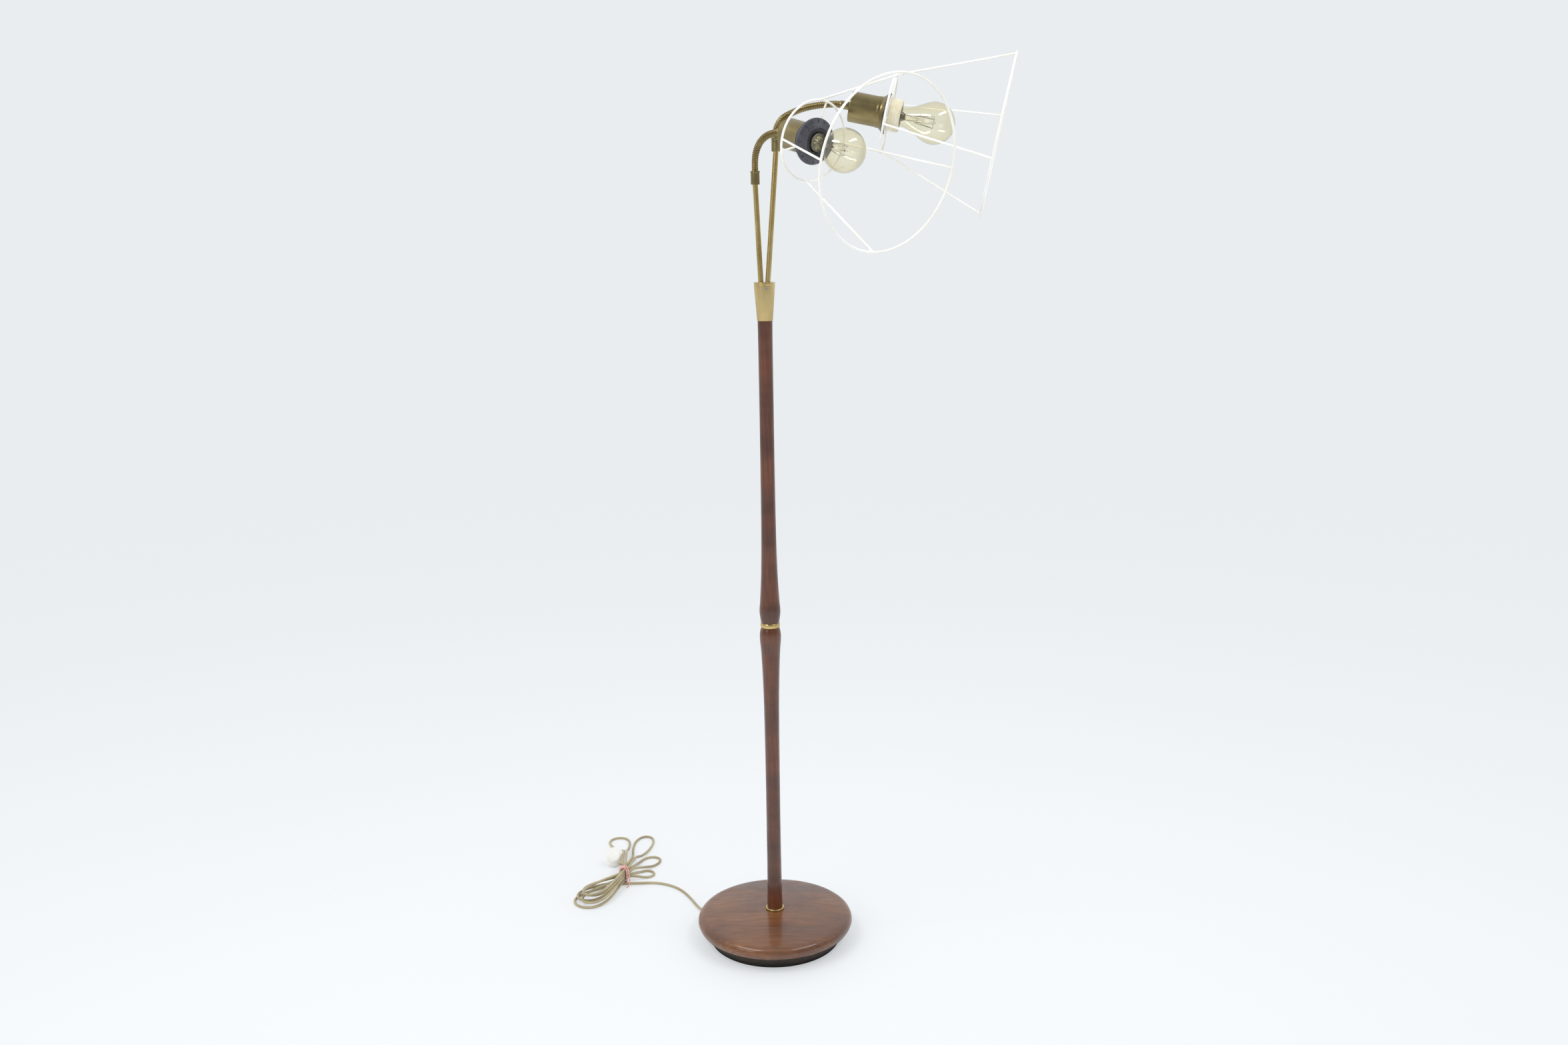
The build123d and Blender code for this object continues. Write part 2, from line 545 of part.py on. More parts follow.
def wire_ring(radius, at):
    """Ring of six-sided wire round Z, with one face of the wire square to the ribs."""
    middle = Plane(origin=(radius, 0, at), x_dir=SPREAD, z_dir=(0, -1, 0))
    section = middle * RegularPolygon(RING_WIRE_RADIUS, WIRE_SIDES, rotation=180 / WIRE_SIDES)
    return revolve(section, Axis.Z)


def make_cage(side):
    """Wire cage: front ring, four ribs, and the rear ring welded to the carrier by three arms."""
    face = RING_WIRE_RADIUS * cos(pi / WIRE_SIDES) + SEAT
    rear_point = Vector(REAR_RING_RADIUS, 0, CARRIER_AT) + SPREAD * face
    front_point = Vector(FRONT_RING_RADIUS, 0, CARRIER_AT + CAGE_LENGTH) - SPREAD * face
    rib = rod(rear_point, front_point, RIB_WIRE_RADIUS, WIRE_SIDES)
    ribs = [Rotation(0, 0, side.rib_turn + 360 / RIB_COUNT * number) * rib for number in range(RIB_COUNT)]
    carrier = Circle(CARRIER_OUTER) - Circle(CARRIER_INNER)
    for number in range(ARM_COUNT):
        arm = Rectangle(REAR_RING_RADIUS - CARRIER_INNER, ARM_WIDTH, align=(Align.MIN, Align.CENTER))
        arm = Location((CARRIER_INNER + RING_WIRE_RADIUS, 0)) * arm
        carrier += Rotation(0, 0, ARM_TURN + 360 / ARM_COUNT * number) * arm
    arms = Location((0, 0, CARRIER_AT - CARRIER_THICKNESS / 2)) * extrude(carrier, CARRIER_THICKNESS)
    save(f"cage_front_ring_{side.name}", side.place(wire_ring(FRONT_RING_RADIUS, CARRIER_AT + CAGE_LENGTH)))
    save(f"cage_rear_ring_{side.name}", side.place(wire_ring(REAR_RING_RADIUS, CARRIER_AT) + arms))
    save(f"cage_ribs_{side.name}", *[side.place(one) for one in ribs])


# ---- cord ---------------------------------------------------------------------------------
def bend_radii(route, share=0.45):
    """Largest arc at each inner point of a route that its two runs leave room for."""
    radii = []
    for before, here, after in zip(route, route[1:], route[2:]):
        into, out = here - before, after - here
        turn = radians(into.get_angle(out))
        radii.append(share * min(into.length, out.length) / tan(turn / 2))
    return radii


def make_cord():
    """Cord from the bush to the hank: straight runs joined by arcs as large as the runs allow."""
    route = [GLAND_MOUTH, GLAND_MOUTH + GLAND_WAY * FIRST_RUN, *[Vector(*point) for point in CORD_ROUTE]]
    radii = bend_radii(route)
    print("cord bends, mm:", [round(radius) for radius in radii])
    path = FilletPolyline(*route, radius=radii)
    cord = along(path, CORD_RADIUS, GLAND_MOUTH, GLAND_WAY)
    section = RegularPolygon(CORD_RADIUS, WIRE_SIDES).area
    share = cord.volume / (section * path.length)
    print(f"cord run {path.length:.0f} mm long, volume over section times length {share:.3f}")
    low = TIE_WALL + SLIP
    hank = Location((*TIE_MIDDLE, low)) * Box(
        TIE_INNER_WIDTH - 2 * SLIP, TIE_LENGTH * 2, WAIST_HEIGHT - low,
        align=(Align.CENTER, Align.CENTER, Align.MIN),
    )
    for outline in (UPPER_LOOPS, LOWER_LOOPS):
        hank += extrude(make_face(Polyline(*outline, close=True).edges()), HANK_HEIGHT)
    plug = plug_frame() * plug_shape()
    entry = (plug_frame() * Location((0, 0, -PLUG_ENTRY))).position
    lead = rod(entry, Vector(*PLUG_LEAD_END), CORD_RADIUS, WIRE_SIDES)
    save("cord_run", cord, lead - plug - hank)
    save("cord_hank", hank)
    sides = (Align.CENTER, Align.MIN)
    band = Rectangle(TIE_INNER_WIDTH + 2 * TIE_WALL, WAIST_HEIGHT + SLIP + TIE_WALL, align=sides)
    band -= Location((0, TIE_WALL)) * Rectangle(TIE_INNER_WIDTH, WAIST_HEIGHT + SLIP - TIE_WALL, align=sides)
    across = Plane(origin=(*TIE_MIDDLE, 0), x_dir=(1, 0, 0), z_dir=(0, -1, 0))
    save("cord_tie", extrude(across * band, TIE_LENGTH / 2, both=True))


def plug_frame():
    """Place of the plug, which leans back on its two pins: the pins' face is at its origin."""
    tilt = radians(PLUG_TILT)
    face = Vector(*PLUG_FACE, PLUG_RADIUS * cos(tilt))
    return Plane(origin=face, x_dir=(1, 0, 0), z_dir=(0, cos(tilt), -sin(tilt))).location


def plug_shape():
    """Round plug body with a bevelled back, made round Z behind its face."""
    return lathe(
        (0, -PLUG_THICKNESS), (PLUG_BACK_RADIUS, -PLUG_THICKNESS), (PLUG_RADIUS, -PLUG_RIM),
        (PLUG_RADIUS, 0), (0, 0),
    )


def make_plug():
    """Plug body and its two pins."""
    save("plug_body", plug_frame() * plug_shape())
    pin = rod(Vector(0, 0, 0), Vector(0, 0, PIN_LENGTH), PIN_RADIUS, PIN_SIDES)
    save("plug_pins", *[plug_frame() * Location((x, 0, 0)) * pin for x in (-PIN_SPACING / 2, PIN_SPACING / 2)])


make_base_disc()
make_base_fittings()
make_stem()
make_collar()
make_leads()
for each in SIDES:
    make_arm(each)
    make_neck(each)
    make_cup(each)
    make_holder(each)
    make_bulb(each)
    make_cage(each)
make_cord()
make_plug()
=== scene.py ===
"""Looks of the twin-head wire cage floor lamp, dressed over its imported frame.

Sizes are written in millimetres and become metres when a mesh is made. The origin is the centre
of the base on the floor, +Z is up, +X the way of the right-hand arm and -Y the front.
"""
import logging
from dataclasses import dataclass
from enum import Enum
from math import cos, pi, radians, sin, tan
from typing import Iterable, Sequence

import bmesh
import bpy
from mathutils import Matrix, Vector


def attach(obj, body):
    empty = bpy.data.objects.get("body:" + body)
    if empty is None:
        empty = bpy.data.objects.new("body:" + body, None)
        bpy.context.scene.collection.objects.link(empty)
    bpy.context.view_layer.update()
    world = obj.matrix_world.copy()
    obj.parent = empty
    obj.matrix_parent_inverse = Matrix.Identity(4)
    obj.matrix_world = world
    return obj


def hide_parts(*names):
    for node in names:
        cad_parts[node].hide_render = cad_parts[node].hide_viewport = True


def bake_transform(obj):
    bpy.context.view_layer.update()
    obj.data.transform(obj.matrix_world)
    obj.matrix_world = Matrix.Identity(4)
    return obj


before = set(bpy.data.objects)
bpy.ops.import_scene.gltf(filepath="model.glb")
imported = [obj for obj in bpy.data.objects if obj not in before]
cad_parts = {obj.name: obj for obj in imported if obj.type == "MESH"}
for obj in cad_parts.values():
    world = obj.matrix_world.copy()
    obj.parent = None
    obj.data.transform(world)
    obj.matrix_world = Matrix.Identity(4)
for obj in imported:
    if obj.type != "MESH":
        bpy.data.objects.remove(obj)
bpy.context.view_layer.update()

MM = 0.001
SHARP_ANGLE = radians(38)
MIX_SHARE, MIX_FIRST, MIX_SECOND, MIX_RESULT = 0, 6, 7, 2      # sockets of a colour Mix node
LOG = logging.getLogger("lamp")

Point = tuple[float, float]


class Slot(Enum):
    """Material slots of the record, by the finish that they stand for."""

    WOOD = "turned_wood"
    IRON = "iron_ring"
    FELT = "felt"
    STEEL = "steel"
    BRASS = "aged_brass"
    NECK = "neck_brass"
    BLACK = "black_plastic"
    CREAM = "cream_plastic"
    WIRE = "white_wire"
    GLASS = "clear_glass"
    FILAMENT = "filament"
    CORD = "cord_plastic"
    TWINE = "tie_twine"
    WHITE = "white_plastic"
    PINS = "pin_brass"


# ---- materials ----------------------------------------------------------------------------
def linear(code: str) -> tuple[float, float, float, float]:
    """Turns an sRGB hex colour to linear.

    Args:
        code: Colour such as #8C7A4A.

    Returns:
        Linear red, green, blue and an alpha of 1.
    """
    channels = [int(code[i:i + 2], 16) / 255 for i in (1, 3, 5)]
    red, green, blue = [c / 12.92 if c <= 0.04045 else ((c + 0.055) / 1.055) ** 2.4 for c in channels]
    return red, green, blue, 1.0


def add(tree: bpy.types.NodeTree, kind: str, inputs: dict | None = None, **settings) -> bpy.types.Node:
    """Adds a node, sets it and links it.

    Args:
        tree: Node tree that gets the node.
        kind: Type name of the node.
        inputs: Value or output socket for each input, by name or number.
        **settings: Properties of the node itself.

    Returns:
        The new node.
    """
    node = tree.nodes.new(kind)
    for name, value in settings.items():
        setattr(node, name, value)
    for key, value in (inputs or {}).items():
        if isinstance(value, bpy.types.NodeSocket):
            tree.links.new(value, node.inputs[key])
        else:
            node.inputs[key].default_value = value
    return node


def spread(tree: bpy.types.NodeTree, value: bpy.types.NodeSocket, low: float, high: float,
           start: float = 0.35, end: float = 0.65, **settings) -> bpy.types.NodeSocket:
    """Maps a value to a range.

    Args:
        tree: Tree of the material.
        value: Socket of the value, such as a noise.
        low: Result at the start of the value's range.
        high: Result at its end.
        start: Start of the value's range.
        end: End of the value's range.
        **settings: Properties of the node itself.

    Returns:
        The socket of the result.
    """
    bounds = {"Value": value, "From Min": start, "From Max": end, "To Min": low, "To Max": high}
    return add(tree, "ShaderNodeMapRange", bounds, **settings).outputs[0]


def mixed(tree: bpy.types.NodeTree, share: bpy.types.NodeSocket | float, first: object,
          second: object) -> bpy.types.NodeSocket:
    """Mixes two colours.

    Args:
        tree: Tree of the material.
        share: Share of the second colour.
        first: First colour, as an sRGB hex code or a socket.
        second: Second colour, likewise.

    Returns:
        The mixed colour's socket.
    """
    ends = [linear(end) if isinstance(end, str) else end for end in (first, second)]
    inputs = {MIX_SHARE: share, MIX_FIRST: ends[0], MIX_SECOND: ends[1]}
    return add(tree, "ShaderNodeMix", inputs, data_type="RGBA").outputs[MIX_RESULT]


@dataclass(frozen=True)
class Finish:
    """A plain finish: one colour that drifts a little, with a fine uneven surface.

    drift_mm is the size of the colour's drift and grit_mm that of the surface's unevenness.
    """

    name: str
    light: str
    dark: str
    roughness: float
    metallic: float = 0.0
    coat: float = 0.0
    drift_mm: float = 30.0
    grit_mm: float = 1.5
    bump_mm: float = 0.03
    roughness_spread: float = 0.08

    def pattern(self, tree: bpy.types.NodeTree, size_mm: float, stretch: Sequence[float] = (1, 1, 1),
                detail: float = 4.0) -> bpy.types.NodeSocket:
        """Noise on Object coordinates.

        Args:
            tree: Tree of the material.
            size_mm: Size of the pattern's features.
            stretch: How many times longer the features are along X, Y and Z.
            detail: Octaves of the noise.

        Returns:
            The noise's value socket.
        """
        place = add(tree, "ShaderNodeTexCoord").outputs["Object"]
        scale = [1 / (size_mm * MM * way) for way in stretch]
        moved = add(tree, "ShaderNodeMapping", {"Vector": place, "Scale": scale}).outputs["Vector"]
        return add(tree, "ShaderNodeTexNoise", {"Vector": moved, "Scale": 1.0, "Detail": detail}).outputs[0]

    def colour(self, tree: bpy.types.NodeTree) -> bpy.types.NodeSocket:
        """Base colour of the finish."""
        drift = spread(tree, self.pattern(tree, self.drift_mm), 0.0, 1.0)
        return mixed(tree, drift, self.light, self.dark)

    def height(self, tree: bpy.types.NodeTree) -> bpy.types.NodeSocket:
        """Height of the surface, from 0 to 1."""
        return self.pattern(tree, self.grit_mm)

    def tune(self, shader: bpy.types.Node) -> None:
        """Sets what a kind of finish needs on the shader's own sockets."""

    def make(self) -> bpy.types.Material:
        """Builds the material.

        Returns:
            The node-based material, named for the finish.
        """
        material = bpy.data.materials.new(self.name)
        material.use_nodes = True
        tree = material.node_tree
        shader = tree.nodes["Principled BSDF"]
        shader.inputs["Metallic"].default_value = self.metallic
        shader.inputs["Coat Weight"].default_value = self.coat
        tree.links.new(self.colour(tree), shader.inputs["Base Color"])
        low, high = self.roughness - self.roughness_spread, self.roughness + self.roughness_spread
        rough = spread(tree, self.pattern(tree, self.drift_mm / 3), low, high)
        tree.links.new(rough, shader.inputs["Roughness"])
        bump = add(tree, "ShaderNodeBump", {"Height": self.height(tree), "Distance": self.bump_mm * MM})
        tree.links.new(bump.outputs[0], shader.inputs["Normal"])
        self.tune(shader)
        return material


@dataclass(frozen=True)
class LacqueredWood(Finish):
    """Dark stained hardwood under a clear gloss lacquer: long grain, stained in patches, paler in patches
    along a lower edge and darkened just under it with painted shade.
    """

    grain: str = "#3E2214"
    stain: str = "#4A3A30"
    pale_edge: str = "#B58E68"          # paler colour in patches just above the lower edge
    undercut: str = "#2A1C12"      # painted shade, just under that edge where the undercut turns from the light
    edge_mm: float = 22.6          # height of that edge; 0 where a piece has none
    pale_edge_mm: float = 1.6           # height of the pale patchy band above the edge
    undercut_mm: float = 1.0       # depth over which the painted shade comes in under the edge
    pale_patch_mm: float = 7.0
    grain_mm: float = 3.2          # spacing of the grain's lines
    grain_ways: tuple[float, float, float] = (26.0, 1.0, 1.0)

    def colour(self, tree: bpy.types.NodeTree) -> bpy.types.NodeSocket:
        """Drifting brown with darker grain lines, a few stains, paler patches along a lower edge and painted
        shade just under it.

        Args:
            tree: Tree of the material.

        Returns:
            The colour's socket.
        """
        drift = spread(tree, self.pattern(tree, self.drift_mm, (2.0, 1, 1), 2.0), 0.0, 1.0)
        wood = mixed(tree, drift, self.light, self.dark)
        lines = spread(tree, self.pattern(tree, self.grain_mm, self.grain_ways, 6.0), 0.0, 0.5)
        grained = mixed(tree, lines, wood, self.grain)
        patches = spread(tree, self.pattern(tree, self.drift_mm * 0.9, (1.6, 1, 1)), 0.0, 0.45, 0.56, 0.72)
        stained = mixed(tree, patches, grained, self.stain)
        if not self.edge_mm:
            return stained
        place = add(tree, "ShaderNodeTexCoord").outputs["Object"]
        height = add(tree, "ShaderNodeSeparateXYZ", {0: place}).outputs["Z"]
        edge = self.edge_mm * MM
        # paler patches in a thin band just above the lower edge
        near = spread(tree, height, 0.0, 1.0, edge + self.pale_edge_mm * MM, edge)
        pale_patches = spread(tree, self.pattern(tree, self.pale_patch_mm), 0.0, 0.8, 0.56, 0.62)
        pale_edge_mask = add(tree, "ShaderNodeMath", {0: near, 1: pale_patches}, operation="MULTIPLY").outputs[0]
        edge_paled = mixed(tree, pale_edge_mask, stained, self.pale_edge)
        # painted shade: the colour darkens towards the undercut just below the edge
        under = spread(tree, height, 0.0, 1.0, edge, edge - self.undercut_mm * MM)
        return mixed(tree, under, edge_paled, self.undercut)

    def height(self, tree: bpy.types.NodeTree) -> bpy.types.NodeSocket:
        """Grain that tells a little through the lacquer."""
        return self.pattern(tree, self.grain_mm * 0.6, self.grain_ways)

    def tune(self, shader: bpy.types.Node) -> None:
        """Clear lacquer over the wood."""
        shader.inputs["Coat Roughness"].default_value = 0.09


@dataclass(frozen=True)
class ClearGlass(Finish):
    """Blown soda-lime glass: colourless with a faint warm tint where it is seen edge on."""

    def colour(self, tree: bpy.types.NodeTree) -> bpy.types.NodeSocket:
        """Tint that grows where the glass is seen edge on."""
        edge = add(tree, "ShaderNodeLayerWeight", {"Blend": 0.32}).outputs["Facing"]
        return mixed(tree, edge, self.light, self.dark)

    def tune(self, shader: bpy.types.Node) -> None:
        """Lets light through at glass's index of refraction."""
        shader.inputs["Transmission Weight"].default_value = 1.0
        shader.inputs["IOR"].default_value = 1.5


@dataclass(frozen=True)
class Twine(Finish):
    """Two-colour twisted twine: thin slanting stripes of white in the coloured ply."""

    stripe_mm: float = 1.4

    def colour(self, tree: bpy.types.NodeTree) -> bpy.types.NodeSocket:
        """Slanting stripes with a little noise.

        Args:
            tree: Tree of the material.

        Returns:
            The colour's socket.
        """
        place = add(tree, "ShaderNodeTexCoord").outputs["Object"]
        scale = 1 / (self.stripe_mm * MM * 2 * pi)
        inputs = {"Vector": place, "Scale": scale, "Distortion": 3.0, "Detail": 2.0}
        wave = add(tree, "ShaderNodeTexWave", inputs, bands_direction="DIAGONAL")
        return mixed(tree, wave.outputs[1], self.light, self.dark)


FINISHES: dict[Slot, Finish] = {
    # Stained beech or similar, turned and lacquered: glossy, so its top mirrors the pale room.
    Slot.WOOD: LacqueredWood("lacquered_turned_wood", "#85552F", "#693F27", 0.36, coat=0.5, drift_mm=60.0,
                             bump_mm=0.02),
    # Cast iron, unfinished: dark and rough.
    Slot.IRON: Finish("raw_cast_iron", "#4A4A4B", "#2E2B29", 0.7, 0.9, grit_mm=2.0, bump_mm=0.2),
    # Pressed wool felt: matt and fuzzy.
    Slot.FELT: Finish("pressed_felt", "#1E1E1C", "#2B2A27", 0.95, grit_mm=0.8, bump_mm=0.25),
    # Zinc-plated steel: grey with a soft shine.
    Slot.STEEL: Finish("zinc_plated_steel", "#B4B5B6", "#8F9092", 0.35, 1.0),
    # Spun and drawn brass, unlacquered for years: olive brown with worn paler patches.
    Slot.BRASS: Finish("aged_satin_brass", "#A2946C", "#857650", 0.34, 1.0, drift_mm=45.0, grit_mm=0.9,
                       bump_mm=0.002, roughness_spread=0.04),
    # Wound brass strip, darker because dirt stays between its turns.
    Slot.NECK: Finish("wound_brass_conduit", "#A08E63", "#7B6A42", 0.34, 1.0, drift_mm=30.0, grit_mm=0.7,
                      bump_mm=0.002, roughness_spread=0.04),
    # Moulded phenolic: near black with a soft shine.
    Slot.BLACK: Finish("moulded_black_phenolic", "#33313A", "#242228", 0.34, drift_mm=20.0, bump_mm=0.006),
    # Moulded urea, yellowed a little: smooth cream.
    Slot.CREAM: Finish("moulded_cream_urea", "#E6DEC6", "#D6CBAA", 0.3, coat=0.2, drift_mm=12.0,
                       bump_mm=0.01),
    # Steel wire under thick white lacquer: pale, slightly uneven and rubbed.
    Slot.WIRE: Finish("white_lacquered_wire", "#FDFCF7", "#F0ECE0", 0.34, coat=0.3, drift_mm=60.0,
                      grit_mm=2.5, bump_mm=0.008),
    Slot.GLASS: ClearGlass("clear_blown_glass", "#FBF8EA", "#DDD2AC", 0.02, bump_mm=0.002, grit_mm=12.0,
                           roughness_spread=0.01),
    # Thin drawn tungsten and nickel wire: dull grey brown.
    Slot.FILAMENT: Finish("drawn_filament_wire", "#8A7656", "#55483A", 0.4, 0.8),
    # Extruded PVC, yellowed to olive beige: half gloss.
    Slot.CORD: Finish("yellowed_pvc_cord", "#BCAF8C", "#9F9170", 0.42, drift_mm=40.0, grit_mm=1.2,
                      bump_mm=0.02),
    # Cotton twine in pink and white.
    Slot.TWINE: Twine("pink_white_twine", "#F3CFC8", "#DB8A80", 0.9, grit_mm=0.5, bump_mm=0.2),
    # Moulded thermoplastic: clean white, half gloss.
    Slot.WHITE: Finish("moulded_white_plug", "#F6F5F1", "#ECEAE3", 0.3, coat=0.2, drift_mm=18.0,
                       bump_mm=0.01),
    # Turned brass pins, bright from use.
    Slot.PINS: Finish("turned_brass_pins", "#C9B170", "#A8924F", 0.25, 1.0, drift_mm=8.0, bump_mm=0.01),
}
MATERIALS: dict[Slot, bpy.types.Material] = {slot: finish.make() for slot, finish in FINISHES.items()}

# The same brass where hands and polish keep it bright: golden, with clear soft bands.
RUBBED_BRASS = Finish("rubbed_golden_brass", "#DCC48C", "#BFA569", 0.27, 1.0, drift_mm=60.0, grit_mm=0.9,
                      bump_mm=0.001, roughness_spread=0.03).make()
# The shade ring's phenolic has greyed where fingers grip it, with a soft violet sheen.
RUBBED_BLACK = Finish("rubbed_black_phenolic", "#57565E", "#414047", 0.4, drift_mm=20.0,
                      bump_mm=0.004).make()
# The undercut foot, never lacquered: dull, and almost black with painted shade.
UNDERCUT_PAINTED_SHADE = Finish("undercut_painted_shade_wood", "#33261A", "#241A12", 0.85, bump_mm=0.05).make()
# The stem's wood is redder and darker than the base's, with its grain along the stem.
STEM_WOOD = LacqueredWood("lacquered_stem_wood", "#6F3C20", "#4F2817", 0.3, coat=0.4, drift_mm=45.0,
                          bump_mm=0.01, grain="#32170E", edge_mm=0.0, grain_mm=2.4,
                          grain_ways=(1.0, 1.0, 30.0)).make()


# ---- meshes -------------------------------------------------------------------------------
def polar(turn: float, reach: float = 1.0, height: float = 0.0) -> Vector:
    """Point at a turn about Z, in radians."""
    return Vector((reach * cos(turn), reach * sin(turn), height))


def axes_at(place: Sequence[float], x: Vector, y: Vector, z: Vector) -> Matrix:
    """Frame with its origin at a place and its axes along three directions."""
    return Matrix.Translation(place) @ Matrix((x, y, z)).transposed().to_4x4()


def heading(degrees: float) -> Vector:
    """Level direction at an angle from +X, in two numbers."""
    return Vector((cos(radians(degrees)), sin(radians(degrees))))


def clamped(share: float) -> float:
    """Share kept between 0 and 1."""
    return min(max(share, 0.0), 1.0)


def band(inner: float, outer: float, low: float, high: float) -> list[Point]:
    """Outline of a plain ring."""
    return [(inner, low), (outer, low), (outer, high), (inner, high)]


def soften(outline: Sequence[Point], radius: float, steps: int = 4) -> list[Point]:
    """Rounds the corners of a closed outline that don't lie on the axis.

    Args:
        outline: Corners as (radius, height).
        radius: Cut-back of each corner, at most 0.4 of its shorter side.
        steps: Segments of each rounding.

    Returns:
        The outline with its roundings.
    """
    result: list[Point] = []
    count = len(outline)
    for index, corner in enumerate(outline):
        here = Vector(corner)
        before, after = Vector(outline[index - 1]), Vector(outline[(index + 1) % count])
        if corner[0] <= 0:
            result.append(corner)
            continue
        cut = min(radius, 0.4 * (here - before).length, 0.4 * (after - here).length)
        start, end = here + (before - here).normalized() * cut, here + (after - here).normalized() * cut
        for step in range(steps + 1):
            t = step / steps
            result.append(tuple(start * (1 - t) ** 2 + here * 2 * t * (1 - t) + end * t * t))
    return result


def through(points: Sequence[Point], steps: int = 8) -> list[Point]:
    """Smooth line through points, as Catmull-Rom spans.

    Args:
        points: Points as (radius, height).
        steps: Segments of each span.

    Returns:
        Points of the smooth line.
    """
    ends = [points[0], *points, points[-1]]
    result: list[Point] = []
    for a, b, c, d in zip(ends, ends[1:], ends[2:], ends[3:]):
        a, b, c, d = Vector(a), Vector(b), Vector(c), Vector(d)
        for step in range(steps):
            t = step / steps
            square, cube = a * 2 - b * 5 + c * 4 - d, b * 3 - a - c * 3 + d
            result.append(tuple(((b * 2) + (c - a) * t + square * t ** 2 + cube * t ** 3) / 2))
    return [*result, points[-1]]


def turned(outline: Sequence[Point], sides: int = 96) -> bmesh.types.BMesh:
    """Closed solid turned about Z.

    Args:
        outline: Closed outline as (radius, height); radius 0 is a pole.
        sides: Faces round the axis.

    Returns:
        The mesh, in millimetres.
    """
    mesh = bmesh.new()
    rings = []
    for radius, height in outline:
        if radius <= 1e-6:
            rings.append([mesh.verts.new((0, 0, height))])
            continue
        rings.append([mesh.verts.new(polar(2 * pi * side / sides, radius, height)) for side in range(sides)])
    for low, high in zip(rings, rings[1:] + rings[:1]):
        if len(low) == len(high) == 1:
            continue
        for side in range(sides):
            onward = (side + 1) % sides
            corners = [low[side % len(low)], low[onward % len(low)]]
            corners += [high[onward % len(high)], high[side % len(high)]]
            mesh.faces.new(list(dict.fromkeys(corners)))
    bmesh.ops.recalc_face_normals(mesh, faces=mesh.faces)
    return mesh


def tube(points: Sequence[Vector], radius: float, sides: int = 20, closed: bool = False) -> bmesh.types.BMesh:
    """Round bar along a line, with flat ends unless it closes on itself.

    Args:
        points: Points of the line.
        radius: Radius of the bar.
        sides: Faces round it.
        closed: Whether the line is a ring.

    Returns:
        The mesh, in the points' units.
    """
    mesh = bmesh.new()
    count = len(points)
    ways = []
    for index in range(count):
        before = points[index - 1] if closed or index else points[0]
        after = points[(index + 1) % count] if closed or index < count - 1 else points[-1]
        ways.append((after - before).normalized())
    across = ways[0].orthogonal().normalized()
    turns = [2 * pi * side / sides for side in range(sides)]
    rings = []
    for index, (point, way) in enumerate(zip(points, ways)):
        if index:
            across = ways[index - 1].rotation_difference(way) @ across
        other = way.cross(across)
        spokes = [(across * cos(turn) + other * sin(turn)) * radius for turn in turns]
        rings.append([mesh.verts.new(point + spoke) for spoke in spokes])
    onward_rings = rings[1:] + rings[:1] if closed else rings[1:]
    for low, high in zip(rings, onward_rings):
        for side in range(sides):
            onward = (side + 1) % sides
            mesh.faces.new((low[side], low[onward], high[onward], high[side]))
    if not closed:
        mesh.faces.new(rings[0][::-1])
        mesh.faces.new(rings[-1])
    bmesh.ops.recalc_face_normals(mesh, faces=mesh.faces)
    return mesh


def circle(radius: float, height: float, count: int = 128) -> list[Vector]:
    """Points of a circle about Z."""
    return [polar(2 * pi * index / count, radius, height) for index in range(count)]


def bead(middle: Vector, radius: float) -> bmesh.types.BMesh:
    """Small ball, as a weld or a rounded tip.

    Args:
        middle: Middle of the ball.
        radius: Its radius.

    Returns:
        The mesh, in the middle's units.
    """
    mesh = bmesh.new()
    place = Matrix.Translation(middle)
    bmesh.ops.create_uvsphere(mesh, u_segments=16, v_segments=10, radius=radius, matrix=place)
    return mesh


def joined(name: str, meshes: Iterable[bmesh.types.BMesh], place: Matrix = Matrix()) -> bpy.types.Mesh:
    """Joins meshes to one, places it and shades it smooth up to its sharp edges.

    Args:
        name: Name of the new mesh.
        meshes: Meshes in millimetres; they are freed.
        place: Place of the piece, in millimetres.

    Returns:
        The mesh in metres.
    """
    whole = bmesh.new()
    for part in meshes:
        held = bpy.data.meshes.new("part")
        part.to_mesh(held)
        part.free()
        whole.from_mesh(held)
        bpy.data.meshes.remove(held)
    whole.transform(Matrix.Scale(MM, 4) @ place)
    for face in whole.faces:
        face.smooth = True
    for edge in whole.edges:
        edge.smooth = len(edge.link_faces) == 2 and edge.calc_face_angle(0) < SHARP_ANGLE
    mesh = bpy.data.meshes.new(name)
    whole.to_mesh(mesh)
    whole.free()
    return mesh


def placed(name: str, data: bpy.types.ID) -> bpy.types.Object:
    """Makes an object and puts it in the scene.

    Args:
        name: Name of the object.
        data: Its mesh, curve, light or camera.

    Returns:
        The new object.
    """
    made = bpy.data.objects.new(name, data)
    bpy.context.scene.collection.objects.link(made)
    return made


def piece(name: str, mesh: bpy.types.Mesh, slot: Slot, nodes: Sequence[str] = (), body: str | None = None,
          look: bpy.types.Material | None = None) -> bpy.types.Object:
    """Makes a piece of the lamp from a finished mesh.

    Args:
        name: Name of the piece.
        mesh: Its mesh, in metres and in place.
        slot: Slot of the record that the piece belongs to.
        nodes: Nodes that it stands for.
        body: Body that it rides on; None for the neck's sleeves, which span two bodies.
        look: Finish of the piece, where it isn't the slot's usual one.

    Returns:
        The new object.
    """
    mesh.materials.clear()
    mesh.materials.append(look or MATERIALS[slot])
    made = placed(name, mesh)
    if body:
        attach(made, body)
    if nodes:
        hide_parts(*nodes)
    LOG.info("%s: %d faces, stands for %s", name, len(mesh.polygons), ", ".join(nodes) or "nothing")
    return made


def dress(nodes: Iterable[str], slot: Slot) -> None:
    """Gives carried-over nodes their finish.

    Args:
        nodes: Names of the nodes.
        slot: Slot whose finish they get.
    """
    for node in nodes:
        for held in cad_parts[node].material_slots:
            held.material = MATERIALS[slot]


